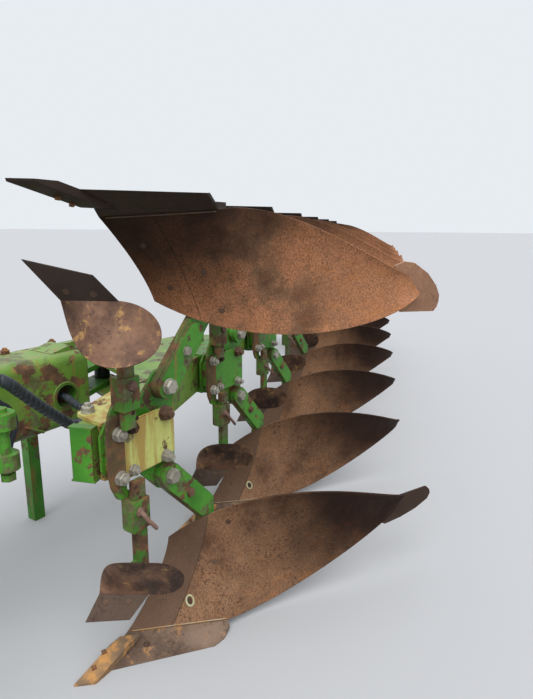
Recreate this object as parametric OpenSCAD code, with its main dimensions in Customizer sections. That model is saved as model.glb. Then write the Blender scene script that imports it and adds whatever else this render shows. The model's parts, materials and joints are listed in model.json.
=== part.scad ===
// Six-furrow mounted reversible mouldboard plough.
// X is the direction of travel, Y is to the left, Z is up, all in millimetres.
// The layout is written from the ground point below the first leg, and is moved at the end
// so that the middle of the footprint is the origin.

/* [Layout] */
// Number of furrows, each with a lower and an upper body
furrows = 6; // [2:1:7]
// Distance between bodies along the direction of travel
body_pitch = 940; // [850:5:1050]
// Width of one furrow
furrow_width = 356; // [300:2:400]
// Height of the beam's middle above the ground
beam_height = 837; // [800:1:900]

/* [Beam] */
// Width of the main beam
beam_w = 76; // [70:1:90]
// Height of the main beam
beam_h = 180; // [150:1:190]
// Wall of the main beam
beam_wall = 10; // [6:0.5:14]
// Distance of the beam's middle from the first leg's outer face, square to the beam
beam_offset = 118; // [110:1:130]
// Beam behind the last leg, along the beam
beam_overhang = 360; // [300:5:600]
// Thickness of the beam's end caps
cap_t = 8; // [4:1:12]

/* [Front frame] */
// Width of the front frame box
member_w = 240; // [220:1:260]
// Height of the front frame box
member_h = 345; // [330:1:360]
// Corner radius of the front frame box
member_r = 45; // [30:1:60]
// Distance of the front frame's middle from the first leg's outer face
member_offset = 850; // [845:1:860]
// Length of the front frame box behind the first leg
member_back = 464; // [440:1:480]
// Where the front frame box ends, in front of the first leg
member_front = 180; // [150:5:220]
// Radius of the hose tube's bore through the front frame
hose_tube_r = 52; // [45:1:56]
// Radius of the main pivot
pivot_r = 40; // [35:1:45]
// Distance of the main pivot behind the first leg, along the beam
pivot_back = 979; // [960:1:1000]
// Distance of the main pivot from the first leg, square to the beam
pivot_offset = 608; // [590:1:630]
// Distance of the turnover axis from the first leg's outer face
turn_offset = 667; // [650:1:680]
// Thickness of the pivot plates
pivot_plate_t = 20; // [15:1:25]

/* [Legs] */
// Thickness of a leg
leg_t = 30; // [25:1:35]
// Thickness of the plates that hold the legs
cheek_t = 12; // [10:1:15]
// Pivot bolt behind the first bolt column
leg_pivot_back = 235; // [225:1:245]
// Pivot bolt above or below the beam's middle
leg_pivot_z = 174; // [168:1:180]
// Radius of the leg's round head
leg_head_r = 50; // [45:1:54]
// Height of the outer leg plate
leg_plate_h = 200; // [180:1:210]

/* [Bodies] */
// Distance of the landside face of the board from the leg's outer face
land_offset = 117; // [110:1:125]
// Thickness of a mouldboard
board_t = 9; // [7:0.5:12]
// Concavity of a mouldboard at its middle
board_bow = 26; // [10:1:40]
// Thickness of the landside
landside_t = 12; // [10:1:16]
// Height of the landside
landside_h = 105; // [90:1:115]
// Length of the landside
landside_len = 640; // [500:5:700]
// Height of the bar point's upper end above the sole
point_h = 50; // [46:1:54]
// Width of the bar point
point_w = 55; // [50:1:58]
// Length of the bar point
point_len = 214; // [200:1:225]

/* [Skimmers] */
// Width of the skimmer's stalk
stalk_w = 50; // [44:1:56]
// Thickness of the skimmer's stalk
stalk_t = 25; // [20:1:28]
// Height of a skimmer's cutting edge above the body's sole
skim_height = 243; // [235:1:255]
// Thickness of the skimmer's board
skim_t = 6; // [4:0.5:8]
// How much further forward the upper skimmers are set
skim_ahead = 64; // [40:1:75]

/* [Headstock] */
// Height of the turnover axis over the lower link pins
hitch_drop = 287; // [270:1:300]
// Mast height, from the lower link pins to the top link pin
mast_height = 685; // [660:1:700]
// Distance between the shoulders of the lower link pins
link_span = 966; // [940:2:1000]
// Radius of the lower link pins
link_pin_r = 18.3; // [14:0.1:19]
// Length of the lower link pins
link_pin_len = 120; // [100:1:130]
// Radius of the top link bore
top_bore_r = 16; // [12.5:0.1:17]
// Gap between the top link ears
top_gap = 60; // [52:1:70]
// Radius of the turnover shaft
shaft_r = 60; // [50:1:65]
// Radius of the turnover crank, from the axis to the ram's pin
crank_r = 160; // [150:1:170]
// Height of the ram's upper pin above the turnover axis
ram_top = 290; // [280:1:300]

/* [Stand and wheel] */
// Width of the stand's square bar
stand_w = 62; // [55:1:70]
// Height of the stand's bar
stand_len = 930; // [900:5:1000]
// Radius of the depth wheel
wheel_r = 300; // [260:1:320]
// Width of the depth wheel
wheel_w = 190; // [150:1:210]
// Length of the wheel's arm
arm_len = 620; // [600:5:680]
// Height of the wheel above the ground when parked
wheel_lift = 220; // [200:5:250]

/* [Hidden] */
$fn = 48;

fit = 0.3;                     // seat between pieces that meet on curved or turning faces
run = 0.06;                    // running clearance of a pin in its hole, on the radius
sole = 1.5;                    // frogs stay this far off the ground
green = [0.25, 0.55, 0.14];
lime = [0.72, 0.80, 0.40];
rust = [0.45, 0.30, 0.22];
steel = [0.62, 0.62, 0.60];
black = [0.06, 0.06, 0.07];

beam_a = atan2(furrow_width, body_pitch);
last_leg = (furrows - 1) * norm([body_pitch, furrow_width]);
turn_y = -turn_offset;

// A point from its place along the beam (forwards) and square to it (leftwards)
function on_beam(s, n) = [s * cos(beam_a) - n * sin(beam_a), s * sin(beam_a) + n * cos(beam_a)];
// Y of a line that lies n from the first leg, parallel to the beam, at a given X
function beam_line_y(x, n) = (n + x * sin(beam_a)) / cos(beam_a);

stand_at = on_beam(-836, -978);
wheel_y = beam_line_y(-(furrows - 1) * body_pitch, -beam_offset - beam_w / 2 - 49) - 205;
arm_x = -(furrows - 1) * body_pitch + 140;
arm_y = wheel_y + 60;
arm_drop = asin((beam_height - wheel_r - wheel_lift) / arm_len);

// Footprint, from the ram's front to the last board's tail, and from the first tail piece to the wheel
front_x = member_front + 590;
rear_x = -(furrows - 1) * body_pitch - 1258;
left_y = 692;
right_y = wheel_y - 150 - wheel_w / 2;
middle = [(front_x + rear_x) / 2, (left_y + right_y) / 2, 0];

// Small vector tools
function lerp(a, b, t) = a + (b - a) * t;
function unit(v) = v / norm(v);
function bezier(c, t) = pow(1 - t, 3) * c[0] + 3 * t * pow(1 - t, 2) * c[1]
    + 3 * t * t * (1 - t) * c[2] + pow(t, 3) * c[3];
function arc(c, r, a0, a1, n = 10) = [for (i = [0 : n]) let (a = a0 + (a1 - a0) * i / n) c + r * [cos(a), sin(a)]];

// Guide curves of one mouldboard, each a cubic with four control points
land_y = -land_offset;
shin_curve = [[-80, land_y, 33], [-190, land_y, 80], [-318, land_y, 230], [-327, land_y, 315]];
top_curve = [[-327, land_y, 315], [-585, 310, 700], [-965, 770, 380], [-1258, 575, 330]];
low_curve = [[-345, 175, 40], [-705, 290, -20], [-975, 685, 385], [-1240, 572, 290]];
// The upper bodies have newer shins and shares than the lower ones, so their own front edges
high_shin = [[-66, land_y, 76], [-160, land_y, 165], [-258, land_y, 275], [-300, land_y, 372]];
high_top = [[-300, land_y, 372], [-590, 310, 655], [-965, 770, 395], [-1258, 575, 330]];
high_joint = [-330, 160, 47];
$high = false;
function shin_line() = $high ? high_shin : shin_curve;
function top_line() = $high ? high_top : top_curve;
function share_end() = $high ? high_joint : low_curve[0];
function low_line() = [share_end(), low_curve[1], low_curve[2], low_curve[3]];
joint_share = 0.25;            // part of the lower edge that meets the share
shin_share = 0.11;             // part of the board's length that is the shin piece

function low_edge(u) = u < joint_share ? lerp(shin_line()[0], share_end(), u / joint_share)
    : bezier(low_line(), (u - joint_share) / (1 - joint_share));
function board_bare(u, v) = lerp(low_edge(u), bezier(top_line(), u), v)
    + (1 - u) * (bezier(shin_line(), v) - lerp(shin_line()[0], shin_line()[3], v));
function board_face(u, v) = board_bare(u, v) + board_bow * 4 * v * (1 - v) * sin(180 * u) * [-0.7, -0.7, 0];
function board_normal(u, v) = let (d = 0.01)
    unit(cross(board_face(min(1, u + d), v) - board_face(max(0, u - d), v),
               board_face(u, min(1, v + d)) - board_face(u, max(0, v - d))));
function board_at(u, v, depth) = board_face(u, v) - depth * board_normal(u, v);

// Triangles of a closed shell whose front and back are grids of nu by nv cells
function grid_faces(nu, nv) = let (w = nv + 1, b = (nu + 1) * (nv + 1)) concat(
    [for (i = [0 : nu - 1], j = [0 : nv - 1]) [i * w + j, i * w + j + 1, (i + 1) * w + j + 1]],
    [for (i = [0 : nu - 1], j = [0 : nv - 1]) [i * w + j, (i + 1) * w + j + 1, (i + 1) * w + j]],
    [for (i = [0 : nu - 1], j = [0 : nv - 1]) [b + i * w + j, b + (i + 1) * w + j + 1, b + i * w + j + 1]],
    [for (i = [0 : nu - 1], j = [0 : nv - 1]) [b + i * w + j, b + (i + 1) * w + j, b + (i + 1) * w + j + 1]],
    [for (i = [0 : nu - 1]) [i * w, (i + 1) * w, b + (i + 1) * w]],
    [for (i = [0 : nu - 1]) [i * w, b + (i + 1) * w, b + i * w]],
    [for (i = [0 : nu - 1]) [i * w + nv, b + (i + 1) * w + nv, (i + 1) * w + nv]],
    [for (i = [0 : nu - 1]) [i * w + nv, b + i * w + nv, b + (i + 1) * w + nv]],
    [for (j = [0 : nv - 1]) [j, b + j + 1, j + 1]],
    [for (j = [0 : nv - 1]) [j, b + j, b + j + 1]],
    [for (j = [0 : nv - 1]) let (e = nu * w) [e + j, e + j + 1, b + e + j + 1]],
    [for (j = [0 : nv - 1]) let (e = nu * w) [e + j, b + e + j + 1, b + e + j]]);
module shell(front, back, nu, nv) {
    polyhedron(points = concat(front, back), faces = grid_faces(nu, nv), convexity = 8);
}

board_rows = 7;
board_cols = 13;
// A stretch of the mouldboard from u0 to u1 along its length, as a plate
module board_stretch(u0, u1, nu) {
    us = [for (i = [0 : nu]) lerp(u0, u1, i / nu)];
    shell([for (u = us, j = [0 : board_rows]) board_at(u, j / board_rows, 0)],
          [for (u = us, j = [0 : board_rows]) board_at(u, j / board_rows, board_t)], nu, board_rows);
}
// The grid columns of the shin and of the board, as seen from behind
back_us = concat([0, shin_share / 2], [for (i = [0 : board_cols]) lerp(shin_share, 1, i / board_cols)]);
function back_row(v) = [for (u = back_us) board_at(u, v, board_t)];
// Where a row of points passes a plane of constant y
function cross_y(row, y, i = 0) = i + 2 > len(row) ? row[len(row) - 1]
    : row[i][1] <= y && row[i + 1][1] >= y
        ? lerp(row[i], row[i + 1], (y - row[i][1]) / (row[i + 1][1] - row[i][1]))
        : cross_y(row, y, i + 1);
// Outline behind the board, in X and Z, at a plane of constant y, from low to high
function behind_board(y, j0 = 0, j1 = board_rows) = [for (j = [j0 : j1])
    let (p = cross_y(back_row(j / board_rows), y)) [p[0] - 3 * fit, p[2]]];

// Placing: one copy at each leg, and the upper copy mirrored about the beam
module each_leg(from = 0) {
    for (k = [from : furrows - 1]) translate([-k * body_pitch, -k * furrow_width, 0]) children();
}
module upper() {
    $high = true;
    translate([0, 0, 2 * beam_height]) mirror([0, 0, 1]) children();
}
module both() {
    children();
    upper() children();
}
module along_beam() {
    rotate([0, 0, beam_a]) children();
}
// A flat plate in the plane of travel, from y0 to y1, with its outline in X and Z
module side_plate(outline, y0, y1) {
    translate([0, y1, 0]) rotate([90, 0, 0]) linear_extrude(y1 - y0) polygon(outline);
}
module placed() {
    translate(-middle) children();
}

// Main beam, a rectangular tube cut square at both ends
beam_rear = -last_leg - beam_overhang;
beam_near = -beam_offset + beam_w / 2;
beam_far = -beam_offset - beam_w / 2;
beam_front = 33;
module beam_bar(w, h, inset) {
    along_beam() translate([beam_rear + inset, -beam_offset - w / 2, beam_height - h / 2])
        cube([beam_front - beam_rear - 2 * inset, w, h]);
}
module main_beam() {
    color(green) difference() {
        beam_bar(beam_w, beam_h, 0);
        beam_bar(beam_w - 2 * beam_wall, beam_h - 2 * beam_wall, 10);
    }
}
module beam_caps() {
    lip = 6;
    color(green) along_beam() {
        translate([beam_front, beam_far, beam_height - beam_h / 2]) cube([cap_t, beam_w, beam_h]);
        for (z = [-beam_h / 2 - lip, beam_h / 2]) translate([8, beam_far - 6, beam_height + z])
            cube([beam_front + cap_t - 8, beam_w + 10, lip]);
        translate([beam_rear - cap_t, beam_far, beam_height - beam_h / 2]) cube([cap_t, beam_w, beam_h]);
    }
}

// Front frame, a big rounded box beside the beam
module rounded_box_2d(w, h, r) {
    polygon(concat(
        arc([w / 2 - r, h / 2 - r], r, 0, 90, 6), arc([-w / 2 + r, h / 2 - r], r, 90, 180, 6),
        arc([-w / 2 + r, -h / 2 + r], r, 180, 270, 6), arc([w / 2 - r, -h / 2 + r], r, 270, 360, 6)));
}
member_wall = 12;
module member_bar(w, h, r, back, front) {
    translate([-back, -member_offset, beam_height]) rotate([90, 0, 90])
        linear_extrude(back + front) rounded_box_2d(w, h, r);
}
hose_tube_x = -335;
hose_tube_z = -22;
module hose_tube_hole(r, extra) {
    translate([hose_tube_x, -member_offset + member_w / 2 + extra, beam_height + hose_tube_z])
        rotate([90, 0, 0]) cylinder(h = member_w + 2 * extra, r = r);
}
module front_frame() {
    color(green) difference() {
        member_bar(member_w, member_h, member_r, member_back, member_front);
        member_bar(member_w - 2 * member_wall, member_h - 2 * member_wall, member_r - member_wall,
            member_back - member_wall, member_front - member_wall);
        hose_tube_hole(hose_tube_r + 8, 20);
    }
}
module hose_tube() {
    color(green) difference() {
        hose_tube_hole(hose_tube_r + 8 - fit / 3, 8);
        hose_tube_hole(hose_tube_r, 20);
    }
}
// Cap that thickens the top of the front frame above its rear end
frame_top = beam_height + member_h / 2;
module frame_cap() {
    half = member_w / 2 - member_r;
    color(green) side_plate([[-305, frame_top], [-364, frame_top + 14], [-395, frame_top + 22], [-415, frame_top + 22],
        [-438, frame_top + 10], [-450, frame_top]], -member_offset - half, -member_offset + half);
}

// Turnover block and shaft at the front of the frame
block_len = 212;
block_w = 270;
shaft_len = 466;
crank_t = 25;
crank_boss_r = 42;
block_front = member_front + block_len;
shaft_front = member_front + shaft_len;
crank_front = shaft_front + crank_t;
module turnover_block() {
    color(green) difference() {
        translate([member_front, -member_offset - member_w / 2, beam_height - member_h / 2])
            cube([block_len, member_offset + member_w / 2 + turn_y + block_w / 2, member_h]);
        translate([member_front - 1, turn_y, beam_height]) rotate([0, 90, 0])
            cylinder(h = block_len + 2, r = shaft_r);
    }
}
module turnover_shaft() {
    color(steel) {
        translate([member_front, turn_y, beam_height]) rotate([0, 90, 0]) cylinder(h = shaft_len, r = shaft_r - run);
        translate([shaft_front - 1, turn_y, beam_height]) rotate([90, 0, 90]) linear_extrude(crank_t + 1)
            polygon(concat(arc([crank_r, 0], crank_boss_r, -90, 90, 12), arc([0, 0], shaft_r + 12, 90, 270, 16)));
    }
}

// Main pivot between the beam and the front frame
pivot_at = on_beam(-pivot_back, -pivot_offset);
pivot_boss_r = pivot_r + 45;
module pivot_plate() {
    difference() {
        along_beam() linear_extrude(pivot_plate_t) polygon(concat(
            arc([-pivot_back, -pivot_offset], pivot_boss_r, 190, 300, 12),
            [[-760, -470], [-500, beam_far - fit], [-1560, beam_far - fit], [-1560, -340]]));
        translate([-body_pitch, -furrow_width, 0]) for (x = clamp_bolt_x)
            translate([x, beam_line_y(x, beam_far - clamp_bolt_out), -1]) cylinder(h = pivot_plate_t + 2, r = clamp_bolt_r + 1);
    }
}
module pivot_plates() {
    color(rust) {
        translate([0, 0, beam_height + beam_h / 2 - pivot_plate_t]) pivot_plate();
        translate([0, 0, beam_height - beam_h / 2]) pivot_plate();
    }
}
tongue_t = 25;
pin_half = beam_h / 2 - pivot_plate_t;
module pivot_pin() {
    color(black) difference() {
        translate([pivot_at[0], pivot_at[1], beam_height - pin_half]) cylinder(h = 2 * pin_half, r = pivot_r);
        translate([pivot_at[0], pivot_at[1], beam_height - pin_half - 1]) cylinder(h = 2 * pin_half + 2, r = pivot_r / 2);
    }
}
module pivot_tongue() {
    outer = pivot_r + 25;
    color(green) for (z = [pin_half - tongue_t - fit, -pin_half + fit]) translate([0, 0, beam_height + z]) difference() {
        linear_extrude(tongue_t) polygon(concat(arc(pivot_at, outer, 120, 300, 14),
            [[-member_back, -member_offset - 80], [-member_back, -member_offset + 100]]));
        translate([pivot_at[0], pivot_at[1], -1]) cylinder(h = tongue_t + 2, r = pivot_r + fit / 3);
    }
}

// Twin flat bars on spacers along the far side of the front frame
strap_y = -1007;
strap_z = [beam_height + 104, beam_height + 129];
strap_front = 360;
module linkage_straps() {
    far = -member_offset - member_w / 2;
    color(green) {
        translate([-720, strap_y - 22, strap_z[0]]) cube([strap_front + 720, 44, 12]);
        translate([-720, strap_y - 22, strap_z[1]]) cube([strap_front + 720, 44, 28]);
        for (x = [-477, -231, 60, 300]) {
            translate([x, strap_y, strap_z[0] - 15]) cylinder(h = strap_z[1] - strap_z[0] + 20, r = 14);
            translate([x - 30, strap_y - 25, strap_z[0] - 27]) cube([60, far - strap_y + 25, 12]);
        }
    }
}

// Plates that carry the legs
module leg_plate_outline() {
    side_plate([[48, beam_height - leg_plate_h / 2 + 25], [23, beam_height - leg_plate_h / 2],
        [-225, beam_height - leg_plate_h / 2], [-257, beam_height - leg_plate_h / 2 + 22],
        [-257, beam_height + leg_plate_h / 2 - 22], [-225, beam_height + leg_plate_h / 2],
        [23, beam_height + leg_plate_h / 2], [48, beam_height + leg_plate_h / 2 - 25]], -cheek_t, 0);
}
module front_leg_plate() {
    color(lime) leg_plate_outline();
}
module leg_plates() {
    color(green) each_leg(1) leg_plate_outline();
}
inner_y = -cheek_t - leg_t;
module inner_cheek() {
    p = [-leg_pivot_back, leg_pivot_z];
    half = concat([[45, 60], [20, 100]], [[-120, 130]], arc(p, leg_head_r + 8, 60, 180, 8), [[-300, 110], [-292, 60]]);
    outline = concat([for (q = half) [q[0], beam_height + q[1]]],
        [for (i = [len(half) - 1 : -1 : 0]) [half[i][0], beam_height - half[i][1]]]);
    side_plate(outline, inner_y - cheek_t, inner_y);
    side_plate([[-240, beam_height - 62], [30, beam_height - 62], [30, beam_height + 62], [-240, beam_height + 62]],
        inner_y, -cheek_t);
}
module inner_cheeks() {
    color(green) each_leg() inner_cheek();
}
clamp_edge = 48;
clamp_bolt_x = [-85, -235];
clamp_bolt_out = 22;
clamp_bolt_r = 12;
module clamp_plate() {
    linear_extrude(cheek_t) polygon([[28, inner_y - cheek_t], [27, -100], [10, -198],
        [-15, beam_line_y(-15, beam_far - clamp_edge)], [-265, beam_line_y(-265, beam_far - clamp_edge)],
        [-290, beam_line_y(-290, beam_near)], [-290, inner_y - cheek_t]]);
}
// Tab of a clamp plate, bent down along the beam's near side
module clamp_lip() {
    x = [30, -30];
    y = [for (v = x) beam_line_y(v, beam_near + 1)];
    polyhedron(points = [[x[0], y[0], 0], [x[1], y[1], 0], [x[1], y[1] + cheek_t, 0], [x[0], y[0] + cheek_t, 0],
        [x[0] - 20, y[0] - 7, -66], [x[1] - 2, y[1], -66], [x[1] - 2, y[1] + cheek_t, -66], [x[0] - 20, y[0] - 7 + cheek_t, -66]],
        faces = [[0, 1, 2], [0, 2, 3], [4, 6, 5], [4, 7, 6], [0, 5, 1], [0, 4, 5], [1, 6, 2], [1, 5, 6],
            [2, 7, 3], [2, 6, 7], [3, 4, 0], [3, 7, 4]]);
}
module beam_clamp() {
    translate([0, 0, beam_height + beam_h / 2 + 2]) clamp_lip();
    translate([0, 0, beam_height - beam_h / 2 - 2]) mirror([0, 0, 1]) clamp_lip();
    translate([0, 0, beam_height + beam_h / 2 + fit / 3]) clamp_plate();
    translate([0, 0, beam_height - beam_h / 2 - cheek_t - fit / 3]) clamp_plate();
    for (x = clamp_bolt_x) translate([x, beam_line_y(x, beam_far - clamp_bolt_out), beam_height - beam_h / 2 - 1])
        cylinder(h = beam_h + 2, r = clamp_bolt_r);
    for (x = [-20, -240]) translate([0, 0, beam_height - beam_h / 2 - 1]) linear_extrude(beam_h + 2) polygon([
        [x, beam_line_y(x, beam_near + fit)], [x, inner_y - cheek_t], [x - 15, inner_y - cheek_t],
        [x - 15, beam_line_y(x - 15, beam_near + fit)]]);
}
module front_beam_clamp() {
    color(lime) beam_clamp();
}
module beam_clamps() {
    color(green) each_leg(1) beam_clamp();
}

// Legs and their doublers
pivot_low = [-leg_pivot_back, beam_height - leg_pivot_z];
knee = [-450, 435];
leg_a = atan2(knee[1] - pivot_low[1], knee[0] - pivot_low[0]);
leg_bottom = 150;
module leg() {
    front = behind_board(-cheek_t);
    lower = [for (p = front) if (p[1] > leg_bottom && p[1] < knee[1] - 50) p];
    side_plate(concat(
        arc(pivot_low, leg_head_r, leg_a + 90 - 360, leg_a - 90, 14),
        arc(knee, leg_head_r, leg_a - 90, -180, 6),
        [[-500, leg_bottom + 60], [-470, leg_bottom]],
        lower,
        [knee + leg_head_r * [cos(leg_a + 90), sin(leg_a + 90)]]), inner_y, -cheek_t);
}
module legs_lower() {
    color(green) each_leg() leg();
}
module legs_upper() {
    color(green) upper() each_leg() leg();
}
module leg_doubler() {
    far = lerp(pivot_low, knee, $high ? 0.72 : 0.92);
    side_plate(concat(arc(pivot_low, leg_head_r - 2, leg_a + 90 - 360, leg_a - 90, 14),
        arc(far, leg_head_r - 2, leg_a - 90, leg_a + 90 - 0, 8)), -cheek_t, 2);
}
module leg_doublers() {
    color(green) both() each_leg() leg_doubler();
}

// Frog, the welded carrier behind the share and board
frog_t = 15;
frog_back = -560;
point_tip = 174;
point_y = [land_y + 9, land_y + 9 + point_w];
point_slant = 0.9;             // how far the bar point's ends run back for each millimetre to the left
module frog_side(y0, y1, nose) {
    edge = [for (p = behind_board(y1)) if (p[1] > ($high ? 110 : 40) && p[1] < 300) p];
    side_plate(concat([[frog_back, sole], [nose, sole], [nose, 22]], edge,
        [[-430, 300], [-480, 160], [frog_back, 90]]), y0, y1);
}
module frog() {
    frog_side(land_y, land_y + frog_t, -100);
    frog_side(inner_y - frog_t, inner_y, -170);
    side_plate([[-470, sole], [-390, sole], [-400, 200], [-440, 200]], land_y, inner_y);
    side_plate([[-92, sole], [-170, sole], [-170, 13], [-92, 13]], land_y + 1, point_y[1] - 6);
}
module frogs_lower() {
    color(green) each_leg() frog();
}
module frogs_upper() {
    color(green) upper() each_leg() frog();
}
module landside() {
    front = -104;
    side_plate([[front, 0], [front - 4, 25], [-186, 83], [-208, landside_h], [-104 - landside_len + 20, landside_h],
        [-104 - landside_len, landside_h - 25], [-104 - landside_len, 0]], land_y - landside_t, land_y);
}
module landsides() {
    color(rust) both() each_leg() landside();
}

// Soil-turning pieces
module shins_lower() {
    color(rust) each_leg() board_stretch(0, shin_share, 2);
}
module shins_upper() {
    color(rust) upper() each_leg() board_stretch(0, shin_share, 2);
}
tail_cut = 0.85;               // the first pair of boards ends here and carries tail pieces
module board_row() {
    board_stretch(shin_share, tail_cut, board_cols - 2);
    each_leg(1) board_stretch(shin_share, 1, board_cols);
}
module boards_lower() {
    color(rust) board_row();
}
module boards_upper() {
    color(rust) upper() board_row();
}
share_t = 10;
// The share's corners: two at the joint with the board, two under the bar point, its edge and its worn wing
function share_joint() = [shin_line()[0] - [0, 0, fit], share_end() - [0, 0, fit]];
function share_nose() = $high ? [[-44, -110, 52], [-91, point_y[1] + fit / 3, 52]]
    : [[-25, -112, 22], [-30, point_y[1] + fit / 3, 13]];
share_edge = [[54, point_y[1] + fit / 3, 1.5], [-240, 189, 1.5]];
function share_wing() = $high ? [[-262, 182, 6], [-315, 160, 30]] : [[-290, 197, 8], [-335, 190, 25]];
module share() {
    top = concat([share_joint()[0]], share_nose(), share_edge, share_wing(), [share_joint()[1]]);
    under = [for (i = [0 : 7]) top[i] - [0, 0, i == 3 || i == 4 ? 1.5 : i == 5 ? 8 : share_t]];
    cap = [[0, 1, 2], [0, 2, 7], [2, 3, 4], [2, 4, 7], [4, 5, 7], [5, 6, 7]];
    polyhedron(points = concat(top, under), faces = concat(
        [for (f = cap) [f[0], f[2], f[1]]], [for (f = cap) [f[0] + 8, f[1] + 8, f[2] + 8]],
        [for (i = [0 : 7]) let (j = (i + 1) % 8) [i, j, j + 8]], [for (i = [0 : 7]) let (j = (i + 1) % 8) [i, j + 8, i + 8]]));
}
module shares_lower() {
    color(rust) each_leg() share();
}
module shares_upper() {
    color(rust) upper() each_leg() share();
}
// A bar point as a slanted prism; a new one reaches further out along the same slope
new_point = 72;
new_point_drop = 18;
module bar_point(extra = 0, drop = 0) {
    tip = point_tip + extra;
    side = [[tip - 74, -drop], [tip, -drop], [tip - 3, 9 - drop], [8, point_h], [point_tip - point_len, point_h],
        [point_tip - point_len, point_h - 16]];
    shift = point_slant * point_w;
    polyhedron(points = concat([for (q = side) [q[0], point_y[0], q[1]]], [for (q = side) [q[0] - shift, point_y[1], q[1]]]),
        faces = concat([[for (i = [5 : -1 : 0]) i]], [[for (i = [0 : 5]) i + 6]],
            [for (i = [0 : 5]) let (j = (i + 1) % 6) [i, j, j + 6]], [for (i = [0 : 5]) let (j = (i + 1) % 6) [i, j + 6, i + 6]]));
}
module bar_points() {
    color(rust) {
        each_leg() bar_point();
        upper() {
            bar_point(new_point, new_point_drop);
            each_leg(1) bar_point();
        }
    }
}
// Tail pieces, flat plates behind the tails of the first pair of boards
tail_dir = unit([-0.83, 0.556, 0]);
tail_out = unit(cross(tail_dir, [-0.15, -0.1, 0.98]));
tail_rise = cross(tail_out, tail_dir);
tail_root = [-1109.7, 581.3, 321] + 0.7 * tail_out;
tail_low = [[-120, -60], [-64, -84], [21, -70], [110, -45], [183, -11], [201, 14], [197, 33], [180, 49], [85, 40], [-90, 22]];
tail_high = [[-95, -70], [-49, -87], [4, -80], [83, -35], [140, 20], [168, 66], [171, 94], [167, 120], [152, 139], [-29, 133],
    [-60, 60]];
module tail_plate(outline) {
    multmatrix([for (i = [0 : 2]) [tail_dir[i], tail_rise[i], tail_out[i], tail_root[i]]])
        translate([0, 0, -board_t]) linear_extrude(board_t) polygon(outline);
}
module tail_pieces() {
    color(rust) {
        tail_plate(tail_low);
        upper() tail_plate(tail_high);
    }
}

// Skimmers: bracket strip with two sockets, stalk, board and share
stalk_x = -55;
stalk_y = 25;
stalk_ahead = 25;              // the upper socket and stalk are set this much further forward
socket_t = 10;
socket_front = [20, 10];       // walls in front of and behind the stalk, of the lower and the upper socket
socket_back = [6, 10];
socket_z = [160, 270];
module skimmer_bracket() {
    b = stalk_ahead;
    side_plate([for (q = [[60, -60], [52, -105], [32, -148], [10, -socket_z[0]], [10, -socket_z[1]], [-58, -socket_z[1]],
        [-58, -socket_z[0]], [-8, -130], [-8, 130], [b - 62, socket_z[0]], [b - 62, socket_z[1]], [b + 3, socket_z[1]],
        [b + 3, socket_z[0] + 20], [48, 150], [60, 100]]) [q[0], beam_height + q[1]]], 0, cheek_t);
    for (m = [0, 1]) translate([m * b, 0, m * 2 * beam_height]) mirror([0, 0, m])
        translate([0, 0, beam_height - socket_z[1]]) linear_extrude(socket_z[1] - socket_z[0]) difference() {
            translate([stalk_x - socket_back[m], cheek_t - 0.01])
                square([stalk_w + socket_back[m] + socket_front[m], stalk_t + socket_t + stalk_y - cheek_t]);
            translate([stalk_x - fit, stalk_y - fit]) square([stalk_w + 2 * fit, stalk_t + 2 * fit]);
        }
}
module skimmer_brackets() {
    color(green) each_leg() skimmer_bracket();
}
// Rim of the skimmer's board, from one end of its joint with the share round to the other, with
// heights above the cutting edge
skim_rim = [[67, -73, 77], [13, -117, 168], [131, 46, 278], [26, 149, 257], [-79, 251, 235], [-82, 226, 86], [-22, 75, 78]];
skim_corner = [0.34, 1.62];    // places on the rim where the board's side edges meet its top edge
skim_cols = 8;
skim_rows = 5;
function rim(t) = t < 1 ? bezier([for (i = [0 : 3]) skim_rim[i]], t) : bezier([for (i = [3 : 6]) skim_rim[i]], t - 1);
function skim_joint(u) = lerp(skim_rim[0], skim_rim[6], u);
function skim_top(u) = rim(lerp(skim_corner[0], skim_corner[1], u));
function skim_side(u, v) = lerp(rim(v * skim_corner[0]), rim(2 - v * (2 - skim_corner[1])), u);
function skim_face(u, v) = lerp(skim_joint(u), skim_top(u), v) + skim_side(u, v)
    - lerp(lerp(skim_joint(0), skim_joint(1), u), lerp(skim_top(0), skim_top(1), u), v) + [0, 0, skim_height];
skim_back = skim_t * unit([-0.75, -0.6, -0.2]);
module skimmer_board() {
    front = [for (i = [0 : skim_cols], j = [0 : skim_rows]) skim_face(i / skim_cols, j / skim_rows)];
    shell(front, [for (p = front) p + skim_back], skim_cols, skim_rows);
}
module skimmer_boards() {
    color(rust) {
        each_leg() skimmer_board();
        upper() each_leg() translate([skim_ahead, 0, 0]) skimmer_board();
    }
}
// The share's edge and worn tip, with heights above the cutting edge
skim_edge = [36, 39, 0];
skim_tip = [[120, -92, -12], [151, -118, -44]];
module skimmer_share(tip) {
    down = 0.6 * unit(skim_edge - skim_rim[6]);
    z = [0, 0, skim_height];
    front = [for (q = [tip, skim_rim[0] + down, skim_edge, skim_rim[6] + down]) q + z];
    shell(front, [for (p = front) p + skim_back], 1, 1);
}
module skimmer_shares() {
    color(rust) {
        each_leg() skimmer_share(skim_tip[0]);
        upper() each_leg() translate([skim_ahead, 0, 0]) skimmer_share(skim_tip[1]);
    }
}
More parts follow.
